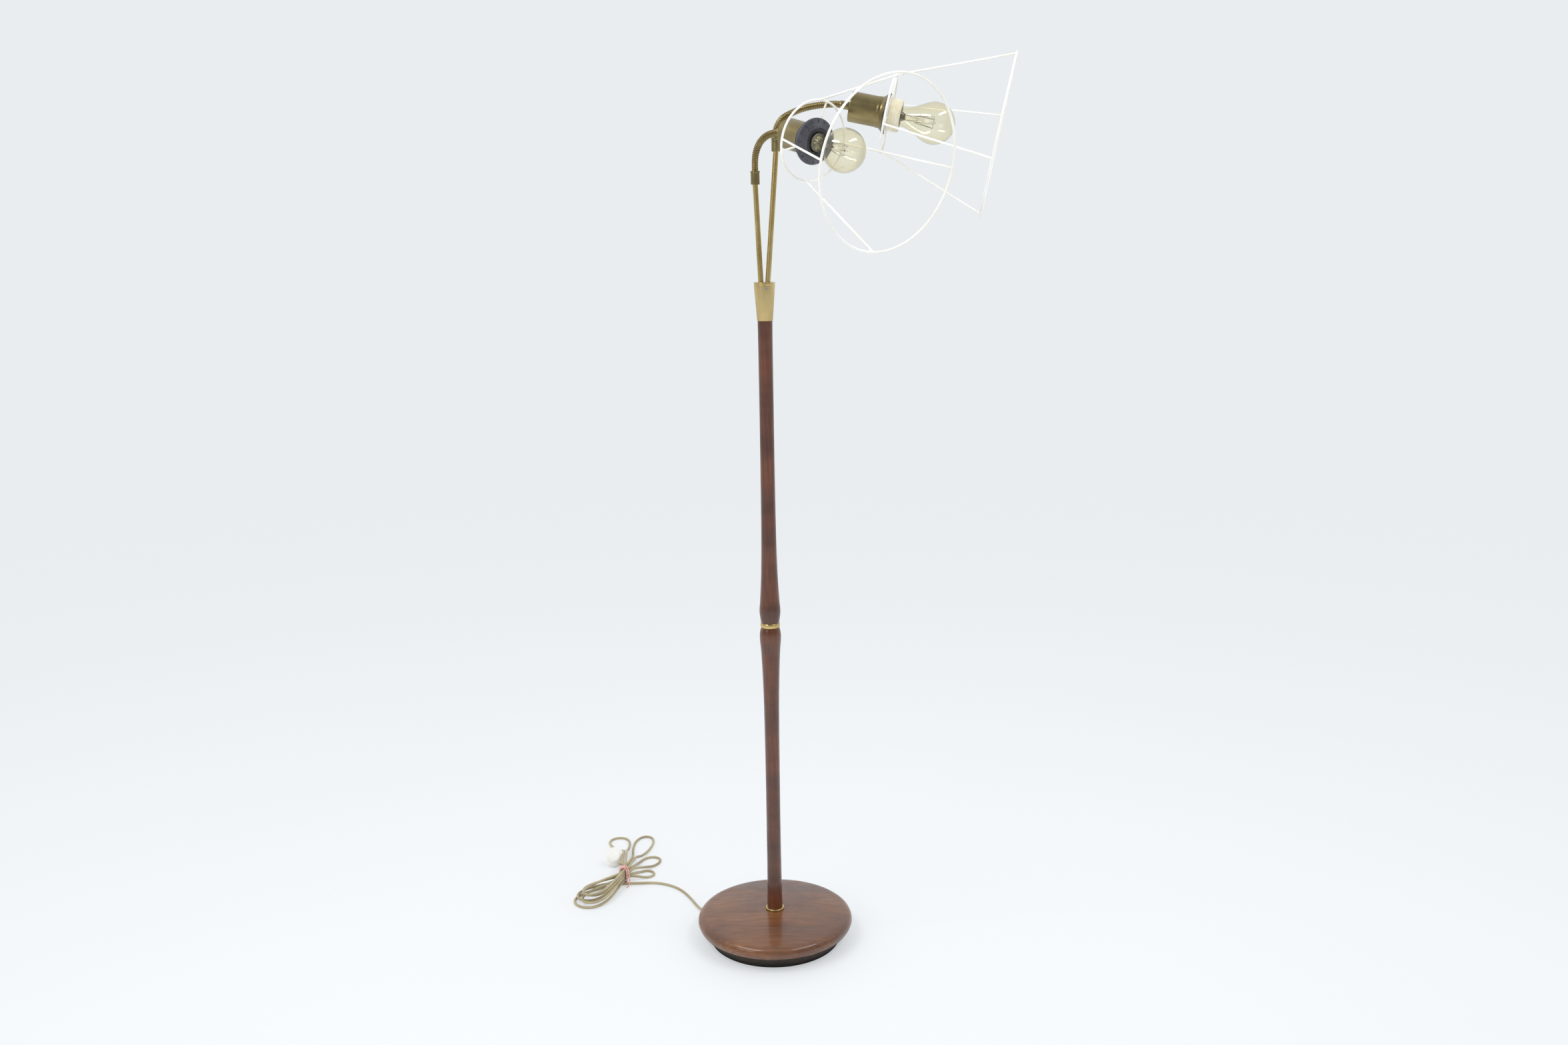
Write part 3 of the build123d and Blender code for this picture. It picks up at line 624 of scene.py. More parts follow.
# ---- geometry nodes -----------------------------------------------------------------------
def run_nodes(name: str, seed_mesh: bpy.types.Mesh, tree: bpy.types.NodeTree, values: dict) -> bpy.types.Mesh:
    """Runs a geometry tree on a mesh and keeps the result as a plain mesh.

    Args:
        name: Name of the new mesh.
        seed_mesh: Mesh that the tree starts from.
        tree: Geometry tree.
        values: Value of each of the tree's inputs, by name.

    Returns:
        The plain mesh.
    """
    holder = placed(name, seed_mesh)
    modifier = holder.modifiers.new("nodes", "NODES")
    modifier.node_group = tree
    for socket in tree.interface.items_tree:
        if socket.in_out == "INPUT" and socket.name in values:
            modifier[socket.identifier] = values[socket.name]
    graph = bpy.context.evaluated_depsgraph_get()
    mesh = bpy.data.meshes.new_from_object(holder.evaluated_get(graph))
    holder.modifiers.remove(modifier)
    bpy.data.objects.remove(holder)
    mesh.name = name
    return mesh


def geometry_tree(name: str, sizes: Sequence[str]) -> bpy.types.NodeTree:
    """New geometry tree with a geometry input and output, a material and named sizes.

    Args:
        name: Name of the tree.
        sizes: Names of its size inputs.

    Returns:
        The tree, with its sockets and no nodes.
    """
    tree = bpy.data.node_groups.new(name, "GeometryNodeTree")
    tree.interface.new_socket(name="Geometry", in_out="INPUT", socket_type="NodeSocketGeometry")
    tree.interface.new_socket(name="Geometry", in_out="OUTPUT", socket_type="NodeSocketGeometry")
    tree.interface.new_socket(name="Material", in_out="INPUT", socket_type="NodeSocketMaterial")
    for size in sizes:
        tree.interface.new_socket(name=size, in_out="INPUT", socket_type="NodeSocketFloat")
    return tree


def end_tree(tree: bpy.types.NodeTree, geometry: bpy.types.NodeSocket,
             material: bpy.types.NodeSocket) -> None:
    """Ends a geometry tree in real, smooth geometry with its material.

    Args:
        tree: Geometry tree.
        geometry: Socket of what the tree has made.
        material: Socket of its material.
    """
    real = add(tree, "GeometryNodeRealizeInstances", {0: geometry})
    smooth = add(tree, "GeometryNodeSetShadeSmooth", {"Geometry": real.outputs[0]})
    dressed = add(tree, "GeometryNodeSetMaterial", {"Geometry": smooth.outputs[0], "Material": material})
    add(tree, "NodeGroupOutput", {0: dressed.outputs[0]})


def wound_tree() -> bpy.types.NodeTree:
    """Tree of a wound conduit: a core along the path and a round rib at every pitch.

    Returns:
        Tree with the inputs Material, Core radius, Rib radius, Rib wire and Pitch, in metres.
    """
    tree = geometry_tree("wound_conduit", ("Core radius", "Rib radius", "Rib wire", "Pitch"))
    given = add(tree, "NodeGroupInput").outputs
    path = add(tree, "GeometryNodeMeshToCurve", {0: given["Geometry"]}).outputs[0]
    rounds = {}
    for size, faces in (("Core radius", 32), ("Rib radius", 40), ("Rib wire", 10)):
        inputs = {"Resolution": faces, "Radius": given[size]}
        rounds[size] = add(tree, "GeometryNodeCurvePrimitiveCircle", inputs).outputs[0]
    inputs = {"Curve": path, "Profile Curve": rounds["Core radius"], "Fill Caps": True}
    core = add(tree, "GeometryNodeCurveToMesh", inputs)
    inputs = {"Curve": rounds["Rib radius"], "Profile Curve": rounds["Rib wire"]}
    rib = add(tree, "GeometryNodeCurveToMesh", inputs)
    marks = add(tree, "GeometryNodeCurveToPoints", {"Curve": path, "Length": given["Pitch"]}, mode="LENGTH")
    turn = add(tree, "FunctionNodeAlignRotationToVector", {"Vector": marks.outputs["Tangent"]}, axis="Z")
    inputs = {"Points": marks.outputs[0], "Instance": rib.outputs[0], "Rotation": turn.outputs[0]}
    ribs = add(tree, "GeometryNodeInstanceOnPoints", inputs)
    both = add(tree, "GeometryNodeJoinGeometry")
    tree.links.new(core.outputs[0], both.inputs[0])
    tree.links.new(ribs.outputs[0], both.inputs[0])
    end_tree(tree, both.outputs[0], given["Material"])
    return tree


def studs_tree() -> bpy.types.NodeTree:
    """Tree that sets a small raised stud on each vertex of a mesh.

    Returns:
        Tree with the inputs Material and Stud radius, in metres.
    """
    tree = geometry_tree("raised_studs", ("Stud radius",))
    given = add(tree, "NodeGroupInput").outputs
    stud = add(tree, "GeometryNodeMeshIcoSphere", {"Radius": given["Stud radius"], "Subdivisions": 2})
    inputs = {"Points": given["Geometry"], "Instance": stud.outputs[0]}
    studs = add(tree, "GeometryNodeInstanceOnPoints", inputs)
    end_tree(tree, studs.outputs[0], given["Material"])
    return tree


def line_mesh(name: str, points: Sequence[Vector], linked: bool = True) -> bpy.types.Mesh:
    """Mesh of bare points, which run_nodes starts from.

    Args:
        name: Name of the mesh.
        points: Points in millimetres.
        linked: Whether each is joined to the next.

    Returns:
        The mesh, in metres.
    """
    mesh = bpy.data.meshes.new(name)
    edges = [(i, i + 1) for i in range(len(points) - 1)] if linked else []
    mesh.from_pydata([point * MM for point in points], edges, [])
    return mesh


# ---- stand --------------------------------------------------------------------------------
@dataclass
class Stand:
    """Turned base, stem with its rings, and the brass collar."""

    base_radius: float = 125.0
    base_top: float = 47.5
    shoulder: Point = (112.0, 41.2)
    widest_z: float = 29.0
    lower_edge: Point = (122.3, 22.5)
    foot_radius: float = 105.0
    felt: float = 3.0
    recess: Point = (96.0, 24.0)
    hole: float = 5.3
    foot_ring: tuple[float, float] = (15.0, 3.2)
    joint_ring: tuple[float, float, float] = (15.1, 523.0, 8.0)
    lower_radii: tuple[Point, ...] = ((12.5, 0.0), (11.4, 80.0), (11.3, 215.0), (12.0, 343.0), (14.2, 420.0),
                                      (16.7, 458.0), (14.2, 472.3))
    upper_radii: tuple[Point, ...] = ((14.2, 0.0), (16.4, 18.0), (15.0, 37.0), (12.8, 79.0), (11.4, 150.0),
                                      (10.9, 260.0), (10.9, 420.0), (11.2, 466.0))
    collar: tuple[Point, Point] = ((11.75, 997.0), (15.85, 1049.4))
    collar_wall: float = 1.0
    lid_top: float = 1053.7
    lid_line: float = 0.9
    lid_step: float = 0.6
    lid_seat: float = 1.0              # how deep the lid sits in the cone
    dome_steps: int = 24
    edge_steps: int = 12
    edge_pulls: Point = (9.5, 6.0)     # how far the edge's curve runs on from the shoulder and its widest
    lip_round: float = 2.0

    def base_outline(self) -> list[Point]:
        """Outline of the disc: shallow dome, rounded edge, undercut foot and the ring's recess.

        Returns:
            The closed outline, as (radius, height).
        """
        radius, height = self.shoulder
        drop, steps = self.base_top - height, self.dome_steps
        dome = [(radius * i / steps, self.base_top - drop * (i / steps) ** 2) for i in range(2, steps + 1)]
        a, d = Vector(self.shoulder), Vector((self.base_radius, self.widest_z))
        b = a + Vector((1.0, -2 * drop / radius)) * self.edge_pulls[0]
        c = d + Vector((0, self.edge_pulls[1]))
        edge = []
        for step in range(1, self.edge_steps + 1):
            t = step / self.edge_steps
            u = 1 - t
            edge.append(tuple(a * u ** 3 + b * 3 * t * u ** 2 + c * 3 * t * t * u + d * t ** 3))
        corners = [(self.base_radius, self.widest_z - 1), self.lower_edge, (self.foot_radius, self.felt)]
        lip = soften(corners, self.lip_round)[5:10]     # the five points that round the middle corner
        recess = [(self.recess[0], self.felt), self.recess, (self.hole, self.recess[1])]
        return [(self.hole, self.base_top), *dome, *edge, *lip, (self.foot_radius, self.felt), *recess]

    def add_brass(self, outlines: dict[str, list[Point]]) -> None:
        """Adds turned pieces of rubbed brass.

        Args:
            outlines: Outline of each piece, by its node.
        """
        for node, outline in outlines.items():
            mesh = joined(node, [turned(outline)])
            piece(f"{node}_brass", mesh, Slot.BRASS, [node], "stand", RUBBED_BRASS)

    def make_base(self) -> None:
        """Turned disc."""
        mesh = joined("base_disc_wood", [turned(self.base_outline(), 160)])
        base = piece("base_disc_wood", mesh, Slot.WOOD, ["base_disc"], "stand")
        # The faces under the lower edge take the almost black painted shade.
        base.data.materials.append(UNDERCUT_PAINTED_SHADE)
        for face in base.data.polygons:
            face.material_index = int(face.center.z < self.lower_edge[1] * MM)

    def make_stem(self) -> None:
        """Two turned lengths and the two rings at their lower ends."""
        foot_z = self.base_top + self.foot_ring[1]
        radius, low, height = self.joint_ring
        spans = {"lower_stem": (foot_z, self.lower_radii), "upper_stem": (low + height, self.upper_radii)}
        for node, (start, radii) in spans.items():
            side = through([(r, start + z) for r, z in radii])
            ends = [(self.hole, side[-1][1]), (self.hole, start)]
            mesh = joined(node, [turned([*side, *ends], 64)])
            piece(f"{node}_wood", mesh, Slot.WOOD, [node], "stand", STEM_WOOD)
        foot = band(self.hole, self.foot_ring[0], self.base_top, foot_z)
        ring = band(self.hole, radius, low, low + height)
        self.add_brass({"foot_ring": soften(foot, 1.4), "joint_ring": soften(ring, 2.6, 6)})

    def make_collar(self) -> None:
        """Spun cone with its turned-in top edge, and the lid above the shadow line."""
        (low_radius, low), (high_radius, high) = self.collar
        wall, seat, line = self.collar_wall, high - self.lid_seat, high + self.lid_line
        inset = high_radius - self.lid_step
        cone = [(low_radius - wall, low), (low_radius, low), (high_radius, high), (high_radius - wall, high)]
        lid = [(0, seat), (inset, seat), (inset, line), (high_radius, line), (high_radius, self.lid_top),
               (0, self.lid_top)]
        self.add_brass({"top_collar": soften(cone, 0.5), "collar_lid": soften(lid, 0.6)})

    def make(self) -> None:
        """Builds the stand and dresses what it carries inside."""
        self.make_base()
        self.make_stem()
        self.make_collar()
        dress(["base_weight"], Slot.IRON)
        dress(["base_felt"], Slot.FELT)
        dress(["base_flange_nut", "tie_tube", "collar_nut", "tube_nuts", "collar_grub_screw"], Slot.STEEL)
        dress(["inner_leads"], Slot.CORD)
        dress(["lead_connector"], Slot.BLACK)


# ---- arms ---------------------------------------------------------------------------------
@dataclass
class Side:
    """One arm of the lamp: where it leaves the lid, how its neck bends and how its head turns."""

    name: str
    tube_side: int
    splay: float
    ferrule_top_z: float
    azimuth: float
    droop: float
    neck_lengths: tuple[float, ...]
    rib_turn: float
    ring_slot: Slot
    lid_top: float = 1053.7
    tube_offset: float = 5.2
    ferrule_height: float = 19.4

    def __post_init__(self) -> None:
        """Works out the neck's bend centres, its directions and the head's frame."""
        rise = self.ferrule_top_z - self.ferrule_height - self.lid_top
        self.tube_x = self.tube_side * self.tube_offset
        lean = self.tube_side * rise * tan(radians(self.splay))
        self.top = Vector((self.tube_x + lean, 0, self.ferrule_top_z))
        out = polar(-radians(self.azimuth))
        step = radians(90 + self.droop) / (len(self.neck_lengths) - 1)
        here = self.top.copy()
        self.bends: list[Vector] = []
        for number, length in enumerate(self.neck_lengths):
            self.axis = out * sin(number * step) + Vector((0, 0, cos(number * step)))
            here = here + self.axis * length
            self.bends.append(here)
        self.back = self.bends.pop()
        upright = (Vector((0, 0, 1)) - self.axis * self.axis.z).normalized()
        self.frame = axes_at(self.back, upright, self.axis.cross(upright), self.axis)

    def body(self, number: int) -> str:
        """Body of a stiff length of the neck.

        Args:
            number: Number of the length; 0 is the ferrule's and the last is the head's.

        Returns:
            The body's name.
        """
        if number == 0:
            return "stand"
        return f"head_{self.name}" if number == len(self.bends) else f"neck_{self.name}_{number}"


@dataclass
class Arm:
    """Brass tube, ferrule and wound neck of one side."""

    side: Side
    conduit: bpy.types.NodeTree
    tube_radius: float = 4.0
    tube_tail: float = 14.0
    tube_bend: float = 3.0         # how far each soft bend reaches along the tube
    tube_socket: float = 4.0
    ferrule_radius: float = 6.5
    rim_radius: float = 6.9
    rim: float = 3.0
    neck_core: float = 4.25
    rib_wire: float = 0.95         # a little coarser than the real ribs, so that they show
    rib_pitch: float = 2.5
    neck_steps: int = 16           # segments of the neck's line over one hinge
    end_sleeve: tuple[float, float] = (5.75, 15.0)

    def make_tube(self) -> None:
        """Arm tube: upright in the lid, a soft bend, leaning, and upright again in the ferrule."""
        side = self.side
        low = side.ferrule_top_z - side.ferrule_height
        foot, head = Vector((side.tube_x, 0, side.lid_top)), Vector((side.top.x, 0, low))
        lean = (head - foot).normalized() * self.tube_bend
        points = [Vector((side.tube_x, 0, side.lid_top - self.tube_tail)),
                  foot - Vector((0, 0, self.tube_bend)), foot + lean, head - lean,
                  Vector((side.top.x, 0, low + self.tube_socket))]
        mesh = joined("arm_tube", [tube(points, self.tube_radius, 32)])
        node = f"arm_tube_{side.name}"
        piece(f"{node}_brass", mesh, Slot.BRASS, [node], "stand", RUBBED_BRASS)

    def make_ferrule(self) -> None:
        """Turned ferrule with a raised rim at its mouth."""
        side, height = self.side, self.side.ferrule_height
        outline = soften([(0, -height), (self.ferrule_radius, -height), (self.ferrule_radius, -self.rim),
                          (self.rim_radius, -self.rim + 0.8), (self.rim_radius, 0), (0, 0)], 0.5)
        mesh = joined("ferrule", [turned(outline, 48)], Matrix.Translation(side.top))
        piece(f"ferrule_{side.name}_brass", mesh, Slot.BRASS, [f"ferrule_{side.name}"], "stand")

    def neck_path(self, number: int) -> tuple[list[Vector], Vector, Vector]:
        """Line of the neck over one hinge.

        Args:
            number: Hinge, from 1.

        Returns:
            Points of the line, and the two middles between which it turns.
        """
        side = self.side
        marks = [side.top, *side.bends, side.back]
        bend = marks[number]
        start, end = (marks[number - 1] + bend) / 2, (bend + marks[number + 1]) / 2
        points = []
        for step in range(self.neck_steps + 1):
            t = step / self.neck_steps
            points.append(start * (1 - t) ** 2 + bend * 2 * t * (1 - t) + end * t * t)
        if number == 1:
            points.insert(0, side.top.copy())
        if number == len(side.bends):
            points.append(side.back.copy())
        return points, start, end

    def make_neck(self) -> None:
        """One wound sleeve over each hinge, and the plain sleeve at the cup."""
        side = self.side
        values = {"Material": MATERIALS[Slot.NECK], "Core radius": self.neck_core * MM,
                  "Rib radius": (self.neck_core - self.rib_wire * 0.1) * MM, "Rib wire": self.rib_wire * MM,
                  "Pitch": self.rib_pitch * MM}
        for number in range(1, len(side.bends) + 1):
            points, start, end = self.neck_path(number)
            name = f"neck_sleeve_{side.name}_{number}"
            mesh = run_nodes(name, line_mesh(name, points), self.conduit, values)
            made = piece(name, mesh, Slot.NECK, [f"neck_{side.name}_{number}"])
            side.body(number - 1)
            side.body(number)
            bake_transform(made)
        radius, length = self.end_sleeve
        outline = [(0, -length), (radius - 0.5, -length), (radius, -length + 1.5), (radius, 0.5), (0, 0.5)]
        mesh = joined("neck_end", [turned(soften(outline, 0.5), 48)], side.frame)
        piece(f"neck_end_{side.name}", mesh, Slot.NECK, body=side.body(len(side.bends)))

    def make(self) -> None:
        """Builds the arm."""
        self.make_tube()
        self.make_ferrule()
        self.make_neck()


# ---- heads --------------------------------------------------------------------------------
@dataclass
class Head:
    """Cup, lampholder, shade ring and cage of one side, measured forward from the back of the cup."""

    side: Side
    studs: bpy.types.NodeTree
    cup_radius: float = 21.5
    cup_length: float = 43.0
    skirt: tuple[float, float] = (27.6, 51.0)
    wall: float = 1.0
    holder_radius: float = 19.0
    holder_bore: float = 14.65
    gasket_radius: float = 28.8
    clamp_back: float = 56.7
    ring_wire: float = 1.65
    rib_wire: float = 1.5
    rear_ring: float = 55.5
    front_ring: float = 116.0
    cage_at: float = 55.8
    cage_length: float = 159.0
    carrier: tuple[float, float, float] = (19.9, 27.0, 1.6)
    carrier_arms: int = 3
    arm_turn: float = -15.0
    arm_wire: float = 1.45
    ribs: int = 4
    cup_hole: float = 5.15
    flare_steps: int = 5
    flare_power: float = 1.6
    holder_back: float = 12.0
    cap_seat: float = 43.4             # where the holder's bore ends behind the bulb's cap
    wide_front: float = 66.0           # front of the holder behind each form of shade ring
    narrow_front: float = 74.0
    gasket: tuple[float, float] = (19.3, 54.9)
    stud_count: int = 16
    stud_circle: float = 28.2
    stud_gap: float = 1.2
    stud_radius: float = 0.85
    stud_place: float = 4.35
    # Outlines of the two forms of shade ring, as (radius, distance before the clamp's back).
    wide_ring: tuple[Point, ...] = ((19.05, 0), (32, 0), (32, 3.2), (24.4, 5.6), (24.4, 7.4), (22.6, 7.4),
                                    (22.6, 9.3), (19.05, 9.3))
    narrow_ring: tuple[Point, ...] = ((19.05, 0), (23.5, 0), (23.5, 4), (22.6, 4.7), (23.1, 5.6),
                                      (23.1, 15), (21.6, 17.3), (19.05, 17.3))

    def add(self, name: str, meshes: Iterable[bmesh.types.BMesh], slot: Slot, *nodes: str,
            look: bpy.types.Material | None = None) -> bpy.types.Object:
        """Adds a piece of the head from meshes made round Z.

        Args:
            name: Name of the piece, without its side.
            meshes: Meshes in millimetres, forward from the back of the cup.
            slot: Slot of the record that the piece belongs to.
            *nodes: Nodes that it stands for, without their side.
            look: Finish of the piece, where it isn't the slot's usual one.

        Returns:
            The new object.
        """
        side = self.side.name
        mesh = joined(f"{name}_{side}", meshes, self.side.frame)
        return piece(mesh.name, mesh, slot, [f"{node}_{side}" for node in nodes], f"head_{side}", look)

    def make_cup(self) -> None:
        """Spun cup: rolled back edge, a shallow bead before the flared skirt, and a rolled rim."""
        radius, length = self.cup_radius, self.cup_length
        out, front = self.skirt
        inner, steps = radius - self.wall, self.flare_steps
        outer = [(self.cup_hole, 0), (radius, 0), (radius, length - 4), (radius + 0.5, length - 1.5),
                 (radius + 0.6, length)]
        flare = []
        for step in range(1, steps + 1):
            swell = (out - radius) * (step / steps) ** self.flare_power
            flare.append((radius + swell, length + (front - length) * step / steps))
        back = [(x - self.wall, z) for x, z in reversed(flare)]
        inside = [(inner, length), (inner, self.wall), (self.cup_hole, self.wall)]
        outline = soften([*outer, *flare, *back, *inside], 1.5, 5)
        self.add("cup_brass", [turned(outline)], Slot.BRASS, "cup")

    def make_rings(self) -> None:
        """Lampholder body, gasket and the shade ring, whose form differs between the sides."""
        slot = self.side.ring_slot
        wide = slot is Slot.BLACK
        front = (self.wide_front if wide else self.narrow_front) - 0.2
        holder = [(0, self.holder_back), (self.holder_radius, self.holder_back), (self.holder_radius, front),
                  (self.holder_bore, front), (self.holder_bore, self.cap_seat), (0, self.cap_seat)]
        gasket = band(self.gasket[0], self.gasket_radius, self.skirt[1] - 0.4, self.gasket[1])
        self.add("holder_body", [turned(soften(holder, 0.7))], slot, "holder")
        self.add("gasket_black", [turned(soften(gasket, 0.8))], Slot.BLACK, "shade_gasket")
        form, rounding, look = (self.wide_ring, 0.6, RUBBED_BLACK) if wide else (self.narrow_ring, 0.5, None)
        ring = soften([(radius, self.clamp_back + ahead) for radius, ahead in form], rounding)
        self.add("shade_ring_body", [turned(ring)], slot, "shade_ring", look=look)
        if wide:
            self.make_studs(self.clamp_back + self.stud_place)

    def make_studs(self, at: float) -> None:
        """Grip studs round the black shade ring's sloping face: single ones and rows of three by turns.

        Args:
            at: Distance of the studs' circle from the back of the cup.
        """
        points = []
        for number in range(self.stud_count):
            row = (0,) if number % 2 else (-self.stud_gap, 0.0, self.stud_gap)
            turn = 2 * pi * number / self.stud_count
            for reach in row:
                point = polar(turn, self.stud_circle + reach, at - reach * 0.3)
                points.append(self.side.frame @ point)
        name = f"shade_ring_studs_{self.side.name}"
        values = {"Material": MATERIALS[Slot.BLACK], "Stud radius": self.stud_radius * MM}
        mesh = run_nodes(name, line_mesh(name, points, linked=False), self.studs, values)
        piece(name, mesh, Slot.BLACK, body=f"head_{self.side.name}")

    def make_cage(self) -> None:
        """Front ring, four tapering ribs with their welds, and the rear ring on its carrier."""
        front, rear = self.cage_at + self.cage_length, self.cage_at
        self.add("cage_front", [tube(circle(self.front_ring, front), self.ring_wire, 16, True)], Slot.WIRE,
                 "cage_front_ring")
        inner, outer, thick = self.carrier
        plate = band(inner, outer, rear - thick / 2, rear + thick / 2)
        meshes = [tube(circle(self.rear_ring, rear), self.ring_wire, 16, True), turned(soften(plate, 0.4))]
        lift = Vector((0, 0, rear))
        for number in range(self.carrier_arms):
            way = polar(radians(self.arm_turn + 360 / self.carrier_arms * number))
            meshes.append(tube([way * (inner + 2) + lift, way * self.rear_ring + lift], self.arm_wire, 14))
            meshes.append(bead(way * (self.rear_ring - 0.8) + lift, 1.95))
        self.add("cage_rear", meshes, Slot.WIRE, "cage_rear_ring")
        meshes = []
        for number in range(self.ribs):
            way = polar(radians(self.side.rib_turn + 360 / self.ribs * number))
            start = way * self.rear_ring + lift
            end = way * self.front_ring + Vector((0, 0, front))
            meshes += [tube([start, end], self.rib_wire, 16), bead(start, 1.9), bead(end, 1.9)]
        self.add("cage_rib_set", meshes, Slot.WIRE, "cage_ribs")

    def make(self) -> None:
        """Builds the head."""
        self.make_cup()
        self.make_rings()
        self.make_cage()
        dress([f"holder_shell_{self.side.name}"], Slot.BRASS)


@dataclass
class Bulb:
    """Clear filament bulb of one side: screw cap, blown glass, glass stem and filament cage."""

    head: Head
    cap_radius: float = 13.1
    cap_back: float = 43.4
    cap_front: float = 68.4
    tip: float = 152.5
    radius: float = 30.0
    neck: float = 13.6
    throat: float = 8.0
    glass_wall: float = 0.7
    thread_pitch: float = 3.6
    thread_depth: float = 0.6
    thread_waves: int = 5
    wave_steps: int = 8
    shoulder_steps: int = 24
    front_steps: int = 20
    # Outline of the pressed glass stem, as (radius, distance before the cap's front).
    stem: tuple[Point, ...] = ((0, 0), (9.5, 0), (8.0, 4), (4.2, 12), (3.2, 22), (2.2, 27), (1.1, 30),
                               (1.1, 52), (2.0, 54), (1.1, 56), (0, 56))
    filament_spokes: int = 7
    filament_span: tuple[float, float] = (29.0, 53.0)
    filament_reach: tuple[float, float] = (5.5, 8.5)
    filament_wire: float = 0.24
    hook_wire: float = 0.16
    lead_wire: float = 0.35

    def make_cap(self) -> None:
        """Rolled screw cap with its thread's waves and the contact at its end."""
        low, high = self.cap_back, self.cap_front
        side = []
        for step in range(self.thread_waves * self.wave_steps + 1):
            height = low + 4 + self.thread_pitch * step / self.wave_steps
            wave = self.thread_depth * cos(2 * pi * step / self.wave_steps)
            side.append((self.cap_radius - self.thread_depth + wave, height))
        outline = [(0, low), (4, low), (6, low + 1.5), *side, (self.cap_radius, high), (0, high)]
        self.head.add("bulb_cap_metal", [turned(outline, 64)], Slot.STEEL, "bulb_cap")

    def glass_line(self, shrink: float) -> list[Point]:
        """Outline of one face of the glass: straight throat, swelling shoulder and round front.

        Args:
            shrink: How far the face lies inside the outer one.

        Returns:
            The open outline, as (radius, distance from the back of the cup).
        """
        middle = self.tip - self.radius
        neck, wide = self.neck - shrink, self.radius - shrink
        start, span = self.cap_front + self.throat, middle - self.cap_front - self.throat
        line = [(neck, self.cap_front - 0.5)]
        for step in range(self.shoulder_steps + 1):
            t = step / self.shoulder_steps
            line.append((neck + (wide - neck) * t * t * (3 - 2 * t), start + span * t))
        turns = [pi / 2 * step / self.front_steps for step in range(1, self.front_steps)]
        line += [(wide * cos(turn), middle + wide * sin(turn)) for turn in turns]
        return [*line, (0, middle + wide)]

    def make_glass(self) -> None:
        """Envelope with its wall's two faces."""
        outline = [*self.glass_line(0), *reversed(self.glass_line(self.glass_wall))]
        self.head.add("bulb_glass_shell", [turned(outline, 80)], Slot.GLASS, "bulb_glass")

    def make_filament(self) -> None:
        """Pressed glass stem with two lead wires, and the filament zigzagging round its post."""
        foot = self.cap_front
        stem = soften([(radius, foot + ahead) for radius, ahead in self.stem], 1.0)
        self.head.add("bulb_stem_glass", [turned(stem, 32)], Slot.GLASS)
        low, high = foot + self.filament_span[0], foot + self.filament_span[1]
        near, far = self.filament_reach
        wires, points = [], []
        for spoke in range(self.filament_spokes * 2 + 1):
            turn = pi * spoke / self.filament_spokes
            reach, height = (near, low) if spoke % 2 else (far, high)
            points.append(polar(turn, reach, height))
            wires.append(tube([polar(turn, 0.9, height), points[-1]], self.hook_wire, 6))
        wires.append(tube(points, self.filament_wire, 6))
        for way in (-1, 1):
            lead = ((3.0, foot + 6), (2.2, foot + 24), (near, low))
            wires.append(tube([Vector((way * out, 0, height)) for out, height in lead], self.lead_wire, 8))
        self.head.add("bulb_filament_wire", wires, Slot.FILAMENT, "bulb_filament")

    def make(self) -> None:
        """Builds the bulb."""
        self.make_cap()
        self.make_glass()
        self.make_filament()


# ---- cord ---------------------------------------------------------------------------------
@dataclass
class Loop:
    """A loop of the hank beyond the tie: its neck's and its own direction, length and width."""

    neck_way: float
    neck: float
    way: float
    length: float
    width: float
    drop_start: float
    drop_end: float


